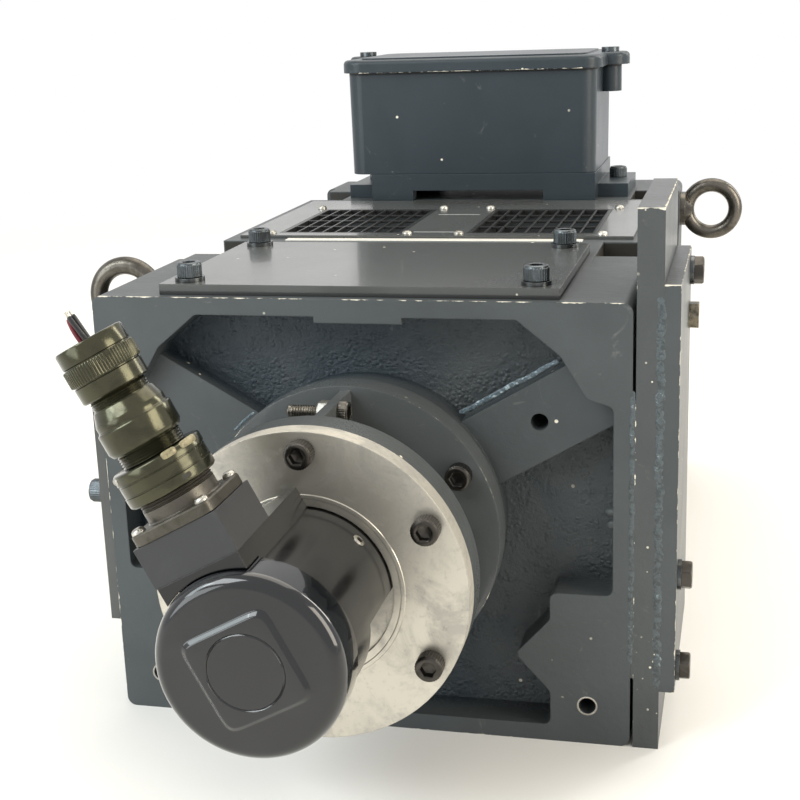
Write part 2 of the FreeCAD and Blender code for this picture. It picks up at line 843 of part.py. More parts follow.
def terminal_box():
    """Cast box with drafted walls, an open top and a cable duct in its floor."""
    body = drafted(0, box_floor, box_top, box_radius)
    body = body.fuse(lid_bosses(lid_boss_radius, box_top - lid_boss_height, box_top))
    hollow = drafted(-box_wall, box_floor + box_wall, box_top, box_radius - box_wall)
    duct = box(-board_length / 2, board_length / 2, box_front_y + riser_wall + box_wall,
               lid_screw_y - board_width / 2 - box_wall, box_floor, box_floor + box_wall)
    body = body.cut([hollow, duct]).removeSplitter()
    return drill(body, [V(x, y, box_top) for x, y in lid_screw_places], UP, screw_radius, lid_boss_height / 2)


def lid_gasket_ring():
    """Flat seal on the rim of the box."""
    ring = box_ring(0, box_top, lid_bottom, box_radius).cut(
        box_ring(-box_wall, box_top, lid_bottom, box_radius - box_wall))
    ring = ring.fuse(lid_bosses(lid_boss_radius, box_top, lid_bottom)).cut(
        lid_bosses(screw_radius, box_top, lid_bottom))
    return ring.cut(box_ring(-box_wall, box_top, lid_bottom, box_radius - box_wall)).removeSplitter()


def terminal_lid():
    """Lid with a rounded overhanging lip, a raised panel and ears over the bosses."""
    roof = lid_bottom + lid_height
    body = box_ring(lid_overhang, lid_bottom, roof, box_radius + lid_overhang)
    body = body.fuse(lid_bosses(lid_boss_radius + lid_ear, lid_bottom, roof)).removeSplitter()
    rim = [edge for edge in body.Edges if edge.BoundBox.ZMin > roof - 0.01]
    body = body.makeFillet(lid_edge_radius, rim)
    raised = box_ring(-lid_panel_inset, roof, roof + lid_panel_height, box_radius)
    under = box_ring(-box_wall, lid_bottom, roof - box_wall, box_radius - box_wall)
    body = body.cut(under).fuse(raised).removeSplitter()
    return drill(body, [V(x, y, roof) for x, y in lid_screw_places], UP, screw_radius, lid_height)


def lid_screw(seat):
    """Slotted flat-topped screw that stands on the lid."""
    head = Part.makeCylinder(screw_head_radius, lid_screw_head, seat, UP)
    half = lid_screw_slot / 2
    head = head.cut(box(seat.x - screw_head_radius, seat.x + screw_head_radius,
                        seat.y - half, seat.y + half,
                        seat.z + lid_screw_head - lid_screw_slot, seat.z + lid_screw_head))
    length = lid_height + lid_gasket + lid_boss_height / 2
    return head.fuse(Part.makeCylinder(screw_radius, length, seat, UP * -1)).removeSplitter()


def terminal_board():
    """Insulating board on two posts in the floor of the box."""
    z0 = box_floor + box_wall
    z1 = z0 + board_post_height
    half = board_width / 2
    plate = box(-board_length / 2, board_length / 2, lid_screw_y - half, lid_screw_y + half,
                z1, z1 + board_thickness)
    feet = [V(side * board_length / 3, lid_screw_y, z0) for side in (-1, 1)]
    posts = [Part.makeCylinder(board_thickness, board_post_height, foot, UP) for foot in feet]
    body = plate.fuse(posts).removeSplitter()
    return drill(body, stud_seats(), UP, stud_radius, board_thickness)


def stud_seats():
    """Places of the terminal studs on top of the board."""
    z = box_floor + box_wall + board_post_height + board_thickness
    return [V(x * stud_pitch / 2, lid_screw_y + y * stud_pitch / 2, z) for x in (-1, 1) for y in (-1, 1)]


def terminal_stud(seat):
    """Stud with one hexagon nut on the board."""
    stem = Part.makeCylinder(stud_radius, stud_height, seat - UP * board_thickness, UP)
    return stem.fuse(hex_bar(hex_flats, hex_height, seat, UP, RIGHT)).removeSplitter()


def rotor_shaft():
    """Stepped shaft from the encoder stub to the plain drive end."""
    drive_seat = -drive_bearing_inset - drive_bearing_width
    profile = [
        (-encoder_stub_reach, encoder_stub_radius), (-bell_disc_back, encoder_stub_radius),
        (-bell_disc_back, neck_radius), (rear_bearing_front, neck_radius),
        (rear_bearing_front, rear_bearing_bore), (rear_bearing_front + rear_bearing_width, rear_bearing_bore),
        (rear_bearing_front + rear_bearing_width, spider_radius - spider_step),
        (commutator_front - bearing_race, spider_radius - spider_step),
        (commutator_front - bearing_race, spider_radius),
        (drive_seat - face_y, spider_radius), (drive_seat - face_y, drive_bearing_bore),
        (shaft_shoulder - face_y, drive_bearing_bore), (shaft_shoulder - face_y, shaft_radius),
        (shaft_reach - shaft_chamfer - face_y, shaft_radius),
        (shaft_reach - face_y, shaft_radius - shaft_chamfer),
    ]
    closed = [(profile[0][0], 0)] + profile + [(profile[-1][0], 0)]
    return spun(closed, V(0, face_y, 0), BACK, UP)


def armature_core():
    """Stack of sheets with slots along its rim."""
    core = tube(core_radius, spider_radius, at(core_front), at(core_end))
    half = slot_width / 2
    slot = box(core_radius - slot_depth, core_radius + 1, at(core_front), at(core_end), -half, half)
    return core.cut([around(slot, 360 / core_slots * step) for step in range(core_slots)])


def winding_head(y0, y1):
    """Round-shouldered ring of end windings."""
    outer = core_radius - slot_depth
    ring = tube(outer, winding_inner, y0, y1)
    rims = [edge for edge in ring.Edges if abs(edge.Length - 2 * math.pi * outer) < 0.1]
    return ring.makeFillet(winding_overhang / 4, rims)


def commutator():
    """Copper drum with a riser at its winding end."""
    end = commutator_front + commutator_length
    drum = tube(commutator_radius, spider_radius, at(commutator_front), at(end))
    riser = tube(commutator_radius + commutator_riser_height, spider_radius,
                 at(end), at(end + commutator_riser))
    return drum.fuse(riser).removeSplitter()


def bearing_rings(bore, outer, y0, y1):
    """Inner ring, and outer ring with its two side seals."""
    inner = tube(bore + bearing_race, bore, y0, y1)
    seal_bore = bore + bearing_race + bearing_seal_gap
    shell = tube(outer, seal_bore, y0, y1)
    room = tube(outer - bearing_race, seal_bore, y0 + 1, y1 - 1)
    return inner, shell.cut(room)


def main_pole():
    """Pole body seated on the cut corner of the frame, with a curved shoe over the armature."""
    y0, y1 = at(core_front), at(core_end)
    face = core_radius + air_gap
    body = box(-pole_half_width, pole_half_width, y0, y1, face + pole_shoe_height - 1, pole_seat)
    shoe = tube(face + pole_shoe_height, face, y0, y1).common(
        box(-pole_shoe_half_width, pole_shoe_half_width, y0, y1, 0, face + pole_shoe_height))
    return body.fuse(shoe).removeSplitter()


def racetrack_coil(half, width, z0, z1, ends):
    """Coil that wraps a straight pole of the given half width."""
    y0, y1 = at(core_front), at(core_end)
    outer = box(-half - width, half + width, y0 - ends - width, y1 + ends + width, z0, z1)
    return outer.cut(box(-half, half, y0 - ends, y1 + ends, z0, z1))


def interpole(seat):
    """Narrow pole between two main poles, reaching to a flat of the frame."""
    return box(-interpole_half_width, interpole_half_width, at(core_front), at(core_end),
               core_radius + interpole_gap, seat)


def set_round(piece, angles):
    """Copies of a piece that points up, turned so that it points along each angle."""
    return [around(piece, angle - 90) for angle in angles]


corner_angles = [45, 135, 225, 315]
upright_angles = [90, 270]
level_angles = [0, 180]
holder_bottom = commutator_radius + holder_bottom_gap
brush_top = commutator_radius + brush_gap + brush_height
spring_room = brush_travel + spring_pack
holder_top = brush_top + spring_room


def brush_holder():
    """Box guide over the commutator with a closed top, on an arm from the rocker."""
    x = brush_width / 2 + holder_clearance
    y0 = at(brush_center) - brush_length / 2 - holder_clearance
    y1 = at(brush_center) + brush_length / 2 + holder_clearance
    shell = box(-x - holder_wall, x + holder_wall, y0 - holder_wall, y1 + holder_wall,
                holder_bottom, holder_top + holder_wall)
    arm = box(-arm_half_width, arm_half_width, at(web_back + rocker_thickness), y0 - holder_wall,
              (rocker_inner + rocker_outer) / 2, rocker_outer)
    return shell.cut(box(-x, x, y0, y1, holder_bottom, holder_top)).fuse(arm).removeSplitter()


def brush():
    """Carbon block with a concave foot that follows the commutator."""
    body = box(-brush_width / 2, brush_width / 2, at(brush_center) - brush_length / 2,
               at(brush_center) + brush_length / 2, 0, brush_top)
    return body.cut(rod(commutator_radius + brush_gap, at(0), at(shield_depth)))


def brush_spring():
    """Stack of flat turns joined by a post, between the brush and the top of its holder."""
    z0 = brush_top + holder_clearance
    room = spring_room - 2 * holder_clearance
    inner = spring_radius - spring_wire
    outer = spring_radius + spring_wire
    middle = V(0, at(brush_center), z0)
    turns = []
    for step in range(spring_turns):
        base = middle + UP * ((room - spring_wire) * step / (spring_turns - 1))
        turn = Part.makeCylinder(outer, spring_wire, base, UP)
        turns.append(turn.cut(Part.makeCylinder(inner, spring_wire, base, UP)))
    post = Part.makeBox(2 * spring_wire, 2 * spring_wire, room, V(inner, middle.y - spring_wire, z0))
    return post.fuse(turns).removeSplitter()


def encoder_bell():
    """Flange, waist and front disc of the encoder carrier, stiffened by radial ribs."""
    flange = rod(bell_flange_radius, at(-bell_flange_thickness), at(0))
    waist = rod(bell_waist_radius, at(-bell_disc_back), at(-bell_flange_thickness))
    disc = rod(adapter_radius, at(-bell_disc_front), at(-bell_disc_back))
    half = bell_rib_thickness / 2
    inner = bell_waist_radius - bell_wall
    rib = box(-half, half, at(-bell_disc_back), at(-bell_flange_thickness), inner, bell_rib_radius)
    body = flange.fuse([waist, disc] + set_round(rib, bell_rib_angles))
    body = body.cut(rod(inner, at(-bell_disc_front), at(0))).removeSplitter()
    body = drill(body, [V(x, at(-bell_flange_thickness), z) for x, z in bell_screw_places], FRONT,
                 screw_radius + hole_clearance, bell_flange_thickness)
    body = drill(body, [V(x, at(-bell_disc_front), z) for x, z in adapter_screw_places], FRONT,
                 screw_radius, screw_grip)
    cross = V(half, at(-cross_screw_depth), cross_screw_height)
    return drill(body, [cross], RIGHT, cross_screw_radius, bell_rib_thickness)


def cross_screw():
    """Screw through the upper rib, with its head on the right and a nut on the left."""
    half = bell_rib_thickness / 2
    seat = V(half, at(-cross_screw_depth), cross_screw_height)
    screw = cap_screw(seat, RIGHT, cross_screw_head_radius, cross_screw_head_height, cross_screw_radius,
                      cross_screw_length, cross_screw_radius * 1.6, cross_screw_head_height / 2)
    nut = hex_bar(cross_nut_flats, cross_nut_height, V(-half, seat.y, seat.z), LEFT, UP)
    return screw.fuse(nut).removeSplitter()


def adapter_ring():
    """Turned ring with a lip behind its bore and holes for six screws."""
    bore = encoder_radius + encoder_bore_gap
    ring = tube(adapter_radius, bore - adapter_lip, at(-adapter_front), at(-bell_disc_front))
    ring = ring.cut(rod(bore, at(-adapter_front), at(-encoder_seat)))
    return drill(ring, [V(x, at(-adapter_front), z) for x, z in adapter_screw_places], FRONT,
                 screw_radius + hole_clearance, adapter_thickness)


def turned(shape):
    """Copy of an upright encoder piece, turned to the angle of the connector."""
    return around(shape, encoder_turn)


def encoder_body():
    """Barrel with a saddle for the connector block, a notch at its foot and a bore for the stub."""
    barrel = rod(encoder_radius, at(-encoder_body_end), at(-encoder_seat))
    saddle = box(-saddle_half_width, saddle_half_width, at(-block_front), at(-adapter_front), 0, saddle_top)
    over_cap = rod(encoder_radius + encoder_cap_lip + encoder_cap_overlap, at(-block_front), at(-encoder_body_end))
    body = barrel.fuse(saddle.cut(over_cap)).removeSplitter()
    bore = rod(encoder_stub_radius + running_clearance, at(-encoder_stub_reach) - 1, at(-encoder_seat))
    corner_x, corner_z = on_circle(notch_depth, notch_angle)
    first_x, first_z = on_circle(encoder_radius, notch_first)
    last_x, last_z = on_circle(encoder_radius, notch_last)
    outer_x, outer_z = on_circle(2 * encoder_radius, (notch_first + notch_last) / 2)
    notch = prism_y([(first_x, first_z), (corner_x, corner_z), (last_x, last_z), (outer_x, outer_z)],
                    at(-notch_end), at(-encoder_seat))
    return turned(body).cut([bore, notch])


def encoder_cap():
    """Cup with a rolled front edge, a raised rounded square and a thin ring groove."""
    y0, y1 = at(-encoder_cap_front), at(-encoder_body_end)
    cup = rod(encoder_radius + encoder_cap_lip, y0, y1)
    front = [edge for edge in cup.Edges if edge.BoundBox.YMax < y0 + 0.01]
    cup = cup.makeFillet(encoder_cap_edge, front)
    half = emblem_side / 2
    raised = prism_y(rectangle(-half, half, -half, half), y0 - emblem_height, y0, emblem_corner)
    rim = [edge for edge in raised.Edges if edge.BoundBox.YMax < y0 - emblem_height / 2]
    raised = raised.makeChamfer(emblem_slope, rim)
    groove = tube(emblem_circle + emblem_groove / 2, emblem_circle - emblem_groove / 2,
                  y0 - emblem_height - 1, y0 - emblem_height + emblem_groove)
    return turned(cup.fuse(raised).removeSplitter().cut(groove))


def connector_block():
    """Cast block on the saddle that carries the receptacle."""
    y0, y1 = at(-block_front), at(block_length - block_front)
    body = box(-block_half_width, block_half_width, y0, y1, saddle_top, block_top)
    well = Part.makeCylinder(receptacle_bore, block_top - saddle_top,
                             V(0, at(-connector_center), saddle_top + block_floor), UP)
    seats = [seat - UP * flange_thickness for seat in flange_screw_seats()]
    return turned(drill(body.cut(well), seats, UP, vent_screw_radius, flange_screw_grip))


def upright_spin(profile, base):
    """Solid of revolution about the connector axis, from (height above base, radius) pairs."""
    return turned(spun(profile, V(0, at(-connector_center), base), UP, RIGHT))


flange_top = block_top + flange_thickness
nut_bottom = flange_top + nut_start
nut_top = nut_bottom + nut_length
shell_bottom = nut_top + backshell_gap
shell_top = shell_bottom + backshell_length
clamp_bottom = shell_top + neck_length


def flange_screw_seats():
    """Places near the four corners of the flange, before it is turned."""
    reach = flange_half_width - flange_screw_inset
    return [V(x, at(-connector_center) + y, flange_top) for x in (-reach, reach) for y in (-reach, reach)]


def receptacle():
    """Square flange with round corners and a threaded barrel."""
    plate = box(-flange_half_width, flange_half_width, at(-connector_center) - flange_half_width,
                at(-connector_center) + flange_half_width, block_top, flange_top)
    corners = [edge for edge in plate.Edges if edge.BoundBox.ZLength > flange_thickness / 2]
    plate = plate.makeFillet(flange_corner, corners)
    plate = drill(plate, flange_screw_seats(), UP, vent_screw_radius + hole_clearance, flange_thickness)
    barrel = Part.makeCylinder(receptacle_radius, receptacle_length,
                               V(0, at(-connector_center), flange_top), UP)
    bore = Part.makeCylinder(receptacle_bore, receptacle_length + flange_thickness,
                             V(0, at(-connector_center), block_top), UP)
    return turned(plate.fuse(barrel).cut(bore).removeSplitter())


def coupling_nut():
    """Captive nut with chamfered edges that turns freely over the receptacle barrel and the plug."""
    inner = receptacle_radius + nut_fit
    lip = clamp_neck_radius + nut_fit
    step = receptacle_length - nut_start + 2 * nut_fit
    profile = [(0, inner), (0, nut_radius - nut_chamfer), (nut_chamfer, nut_radius),
               (nut_length - nut_chamfer, nut_radius), (nut_length, nut_radius - nut_chamfer),
               (nut_length, lip), (step, lip), (step, inner)]
    return upright_spin(profile, nut_bottom)


def backshell():
    """Plug body: spigot in the receptacle, neck through the nut, then a stepped barrel with a cone on top."""
    low = flange_top - shell_bottom
    shoulder = flange_top + receptacle_length + nut_fit - shell_bottom
    end = backshell_length
    profile = [(low, 0), (low, receptacle_bore - nut_fit), (shoulder, receptacle_bore - nut_fit),
               (shoulder, clamp_neck_radius), (nut_fit - backshell_gap, clamp_neck_radius),
               (nut_fit - backshell_gap, collar_radius), (0, collar_radius),
               (0, backshell_radius - backshell_chamfer), (2 * backshell_chamfer, backshell_radius),
               (backshell_barrel, backshell_radius), (backshell_barrel, backshell_rim_radius),
               (backshell_cone_start, backshell_rim_radius), (end, backshell_top_radius), (end, clamp_neck_radius),
               (end + neck_length, clamp_neck_radius), (end + neck_length, 0)]
    return upright_spin(profile, shell_bottom)


def clamp_nut():
    """Cable clamp nut with a raised band and an open end for the wires."""
    band = (clamp_length - clamp_knurl_length) / 2
    raised = clamp_radius + clamp_knurl_height
    profile = [(0, 0), (0, clamp_radius - clamp_knurl_height * 2), (clamp_knurl_height * 2, clamp_radius),
               (band, clamp_radius), (band, raised), (band + clamp_knurl_length, raised),
               (band + clamp_knurl_length, clamp_radius), (clamp_length - 1, clamp_radius),
               (clamp_length, clamp_radius - 1), (clamp_length, clamp_bore), (clamp_length / 2, clamp_bore),
               (clamp_length / 2, 0)]
    return upright_spin(profile, clamp_bottom)


def wire_tails():
    """Two cut wires standing in the open end of the clamp nut."""
    tails = []
    for side in (-1, 1):
        foot = clamp_bottom + clamp_length / 2 + nut_fit
        base = V(wire_offset, at(-connector_center) + side * wire_spacing, foot)
        lean = V(-wire_lean, 0, clamp_length / 2 + wire_reach)
        tails.append(turned(Part.makeCylinder(wire_radius, lean.Length, base, lean)))
    return tails


# Castings, frame and shield bolts
save("nde_end_shield", encoder_end_shield())
frame_solid = stator_frame()
save("stator_yoke", frame_solid.cut(corner_bars()))
save("frame_corners", *[frame_solid.common(bar) for bar in corner_bars()])
save("de_end_shield", drive_end_shield())
save("nde_shield_bolts", *frame_bolts(stator_front + lug_thickness, BACK))
save("de_shield_bolts", *frame_bolts(stator_rear - lug_thickness, FRONT))

# Brush covers
save("top_cover_gasket", top_cover_layer(top, top + gasket_thickness))
save("top_brush_cover", top_cover_layer(top + gasket_thickness, cover_seat_z))
save("left_cover_gasket", left_cover_layer(-half_width - gasket_thickness, -half_width))
save("left_brush_cover", left_cover_layer(left_seat_x, -half_width - gasket_thickness))
cover_grip = washer_thickness + gasket_thickness + screw_grip
top_seats = [V(x, at(depth), cover_seat_z) for x, depth in top_cover_screws]
left_seats = [V(left_seat_x, at(depth), left_cover_middle) for depth in left_cover_screws]
washers = [washer(seat, UP) for seat in top_seats] + [washer(seat, LEFT) for seat in left_seats]
save("cover_screws",
     *[small_screw(seat + UP * washer_thickness, UP, cover_grip + cover_thickness) for seat in top_seats],
     *[small_screw(seat + LEFT * washer_thickness, LEFT, cover_grip + left_cover_thickness) for seat in left_seats])

# Side plates
save("side_plate", side_plate())
save("side_pad", side_pad())
bolt_seats = side_seats(pad_out)
save("side_bolts", *[hex_screw(seat + RIGHT * washer_thickness, RIGHT, washer_thickness + side_bolt_grip)
                     for seat in bolt_seats])
earth_seat = V(pad_out, at(earth_screw_place[0]), earth_screw_place[1])
save("earth_screw", hex_screw(earth_seat, RIGHT, side_bolt_grip))
washers += [washer(seat, RIGHT) for seat in bolt_seats]
save("washers", *washers)

# Lifting eyes
save("eyebolt_left", eyebolt(V(-half_width, at(shield_depth - eye_inset), eye_height), LEFT))
save("eyebolt_right", eyebolt(V(half_width, -drive_shield_depth / 2, eye_height), RIGHT))

# Vent panel
save("vent_panel", vent_panel())
save("vent_grilles", vent_grille(vent_inner, vent_outer), vent_grille(-vent_outer, -vent_inner))
save("vent_screws", *[round_screw(seat, vent_screw_radius, vent_screw_head, vent_screw_height,
                                  panel_thickness + vent_screw_grip) for seat in vent_screw_seats()])

# Terminal box
save("terminal_riser", terminal_riser())
save("riser_bolts", *[small_screw(V(x, y, top + riser_foot_height), UP, riser_foot_height + screw_grip)
                      for x, y in riser_bolt_places()])
save("terminal_box", terminal_box())
save("lid_gasket", lid_gasket_ring())
save("terminal_lid", terminal_lid())
lid_roof = lid_bottom + lid_height
save("lid_screws", *[lid_screw(V(x, y, lid_roof)) for x, y in lid_screw_places])
save("terminal_board", terminal_board())
save("terminal_studs", *[terminal_stud(seat) for seat in stud_seats()])

# Rotor and bearings
save("rotor_shaft", rotor_shaft())
save("armature_core", armature_core())
save("armature_winding", winding_head(at(core_front - winding_overhang), at(core_front)),
     winding_head(at(core_end), at(core_end + winding_overhang)))
save("commutator", commutator())
rear_inner, rear_outer = bearing_rings(rear_bearing_bore, rear_bearing_outer, at(rear_bearing_front),
                                       at(rear_bearing_front + rear_bearing_width))
drive_inner, drive_outer = bearing_rings(drive_bearing_bore, drive_bearing_outer,
                                         -drive_bearing_inset - drive_bearing_width, -drive_bearing_inset)
save("nde_bearing_inner", rear_inner)
save("nde_bearing_outer", rear_outer)
save("de_bearing_inner", drive_inner)
save("de_bearing_outer", drive_outer)

# Field system
save("main_poles", *[pole.common(yoke_cavity()) for pole in set_round(main_pole(), corner_angles)])
pole_coil = racetrack_coil(pole_half_width, pole_coil_width, pole_coil_bottom, pole_coil_top, coil_end_overhang)
save("field_coils", *set_round(pole_coil, corner_angles))
save("interpoles", *set_round(interpole(yoke_z), upright_angles), *set_round(interpole(yoke_x), level_angles))
interpole_coil = racetrack_coil(interpole_half_width, interpole_coil_width, interpole_coil_bottom,
                                interpole_coil_top, coil_end_overhang)
save("interpole_coils", *set_round(interpole_coil, upright_angles + level_angles))

# Brush gear
save("brush_rocker", tube(rocker_outer, rocker_inner, at(web_back), at(web_back + rocker_thickness)))
brush_angles = {"right": 0, "top": 90, "left": 180, "bottom": 270}
save("brush_holders", *set_round(brush_holder(), brush_angles.values()))
for name, angle in brush_angles.items():
    save(f"brush_{name}", *set_round(brush(), [angle]))
save("brush_springs", *set_round(brush_spring(), brush_angles.values()))

# Encoder carrier
save("encoder_bell", encoder_bell())
bell_seats = [V(x, at(-bell_flange_thickness), z) for x, z in bell_screw_places]
save("bell_screws", *[small_screw(seat, FRONT, bell_flange_thickness + screw_grip) for seat in bell_seats])
save("cross_screw", cross_screw())
save("adapter_ring", adapter_ring())
save("adapter_screws", *[small_screw(V(x, at(-adapter_front), z), FRONT, adapter_thickness + screw_grip)
                         for x, z in adapter_screw_places])

# Encoder and connector
save("encoder_body", encoder_body())
save("encoder_cap", encoder_cap())
save("connector_block", connector_block())
save("receptacle", receptacle())
save("flange_screws", *[turned(round_screw(seat, vent_screw_radius, vent_screw_head, vent_screw_height,
                                           flange_thickness + flange_screw_grip)) for seat in flange_screw_seats()])
save("coupling_nut", coupling_nut())
save("backshell", backshell())
save("clamp_nut", clamp_nut())
save("wire_tails", *wire_tails())
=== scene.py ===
"""Looks of a square-frame direct-current motor: finishes, small fasteners, weld beads and wear.

Lengths are metres in the part's own frame: the shaft axis is Y, +Z is up and the encoder end
faces -Y.
"""
import math
import bmesh
import bpy
import numpy as np
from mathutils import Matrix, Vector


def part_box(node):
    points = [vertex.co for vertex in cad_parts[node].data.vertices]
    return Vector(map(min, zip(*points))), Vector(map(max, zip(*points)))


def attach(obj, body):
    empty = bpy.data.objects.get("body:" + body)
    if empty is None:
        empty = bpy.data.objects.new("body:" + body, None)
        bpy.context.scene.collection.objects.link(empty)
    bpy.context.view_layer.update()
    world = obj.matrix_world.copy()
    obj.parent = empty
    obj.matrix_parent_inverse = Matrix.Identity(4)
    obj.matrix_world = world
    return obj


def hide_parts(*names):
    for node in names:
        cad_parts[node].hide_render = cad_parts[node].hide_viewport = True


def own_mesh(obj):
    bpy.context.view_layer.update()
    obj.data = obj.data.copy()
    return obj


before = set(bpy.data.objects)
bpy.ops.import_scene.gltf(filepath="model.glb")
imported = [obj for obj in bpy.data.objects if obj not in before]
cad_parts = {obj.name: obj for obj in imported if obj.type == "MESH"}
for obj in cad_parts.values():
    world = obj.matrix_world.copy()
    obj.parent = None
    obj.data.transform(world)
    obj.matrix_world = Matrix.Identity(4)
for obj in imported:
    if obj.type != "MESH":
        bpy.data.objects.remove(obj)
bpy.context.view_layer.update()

MM = 0.001
TAU = 2 * math.pi
LEFT, RIGHT = (-1, 0, 0), (1, 0, 0)
FRONT, BACK = (0, -1, 0), (0, 1, 0)
DOWN, UP = (0, 0, -1), (0, 0, 1)

# Places taken from the frame
shield_low, shield_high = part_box("nde_end_shield")
plate_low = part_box("side_plate")[0]
pad_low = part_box("side_pad")[0]
face_y = shield_low.y
floor_z = shield_low.z

# Camera: place, aim and lens that give the photographed view
CAMERA_PLACE = (0.14753, -0.89642, 0.19722)
CAMERA_TURN, CAMERA_PITCH, CAMERA_ROLL = -13.94, -15.29, -2.0
CAMERA_LENS, CAMERA_SENSOR = 64.61, 36.0

# Lamps and backdrop: all lamps face the aim point
AIM_POINT = (0.0, -0.3, 0.0)
COOL_LIGHT = (0.93, 0.98, 1.0)
BLUE_LIGHT = (0.86, 0.97, 1.0)
WARM_LIGHT = (1.0, 0.92, 0.8)
SOFT_LIGHT = (1.0, 0.95, 0.86)
CEILING_LIGHT = (1.0, 0.93, 0.82)
WHITE = (1.0, 1.0, 1.0, 1.0)
ROOM_LOW, ROOM_HIGH = (0.29, 0.31, 0.33, 1), (0.86, 0.8, 0.7, 1)
FLOOR_PALE = (0.9, 0.9, 0.89, 1.0)
FLOOR_HALF, FADE_MIDDLE, FADE_WIDTH = 8.0, 0.9, 1.0

# Sizes of the painted castings that limit a finish
BELL_FLANGE = 12 * MM
PLATE_GAP = 1.2 * MM
POCKET_WIDTH, POCKET_HEIGHT, POCKET_SKIN = 19 * MM, 26 * MM, 0.6 * MM
RECESS_BORDER, RECESS_SOFT = 5 * MM, 1.0 * MM
RECESS_START, RECESS_SLOPE, RECESS_END = 12 * MM, 9 * MM, 60 * MM
CHIP_DEPTH, CHIP_SOFT = 3 * MM, 4 * MM
RIM_INSET, RIM_SOFT = 0.2 * MM, 0.1 * MM

# Radius by which a finish rounds sharp edges
PAINT_ROUNDING, TURNED_ROUNDING, MOULDED_ROUNDING = 0.7 * MM, 0.4 * MM, 0.5 * MM


def srgb(red, green, blue):
    """Linear colour of an 8-bit screen colour."""
    part = np.array([red, green, blue]) / 255
    linear = np.where(part <= 0.04045, part / 12.92, ((part + 0.055) / 1.055) ** 2.4)
    return (*linear.tolist(), 1.0)


def scaled(colour, factor, lift=0.0):
    """A colour whose red, green and blue are multiplied, then lifted."""
    return (*(part * factor + lift for part in colour[:3]), 1.0)


# Colours of paint
ANTHRACITE = srgb(76, 81, 83)
# Painted shade for the sunk recess of the encoder-end shield
ANTHRACITE_SHADE = srgb(50, 60, 67)
SLATE = srgb(50, 59, 65)
PLATE_GREY = srgb(76, 80, 81)
COVER_GREY = srgb(82, 84, 83)
GRILLE_GREY = srgb(44, 45, 45)
BELL_GREY = srgb(86, 90, 91)
PRIMER = srgb(232, 226, 210)
# Weld colours: the second colour of each pair is a painted highlight on the lump tops
BEAD_BLUE, BEAD_GLINT = srgb(84, 102, 112), srgb(168, 186, 194)
WELD_GREY, WELD_GLINT = srgb(72, 82, 86), srgb(124, 138, 144)

# Colours of metal, with the darker tone of each where it has its own
BARE_STEEL, STEEL_CLOUD = srgb(176, 172, 164), srgb(130, 126, 120)
ALUMINIUM, ALUMINIUM_CLOUD = srgb(201, 196, 184), srgb(166, 163, 156)
OLIVE, OLIVE_DARK = srgb(70, 69, 52), srgb(48, 47, 36)
ZINC, ZINC_DARK = srgb(196, 193, 184), srgb(96, 92, 84)
EARTH_ZINC, EARTH_DARK = srgb(150, 142, 124), srgb(62, 58, 50)
NUT_ZINC, NUT_DARK = srgb(150, 148, 142), srgb(80, 78, 72)
TINNED, TINNED_DARK = srgb(206, 202, 190), srgb(130, 120, 100)
BRONZE = srgb(88, 84, 77)
OXIDE = srgb(92, 98, 101)
WARM_OXIDE = srgb(78, 75, 71)
WASHER_GREY = srgb(92, 95, 96)
SCREW_GREY = srgb(126, 122, 114)
CORE_GREY = srgb(120, 118, 114)
EYE = srgb(102, 98, 91)
COPPER = srgb(190, 116, 78)
BRASS = srgb(196, 164, 92)
CLIP_TAN = srgb(150, 142, 112)
# Dark tone of grime on metal and of dark joints; also painted shade in the sight hole, and the
# darkening of the frame's pockets
GRIME_AND_SHADE = srgb(40, 37, 32)

# Colours of lacquer, plastic, rubber and carbon
GLOSS_BLACK = srgb(10, 12, 15)
CAST_BLACK = srgb(44, 45, 47)
BODY_BLACK = srgb(12, 13, 15)
GASKET = srgb(26, 26, 27)
VARNISH = srgb(164, 58, 44)
CARBON = srgb(42, 42, 44)
PHENOLIC = srgb(66, 42, 30)
STRIP_WHITE = srgb(226, 224, 216)
LINE_PALE = srgb(168, 170, 170)
WIRE_DARK = srgb(26, 25, 27)
WIRE_RED = srgb(112, 26, 40)


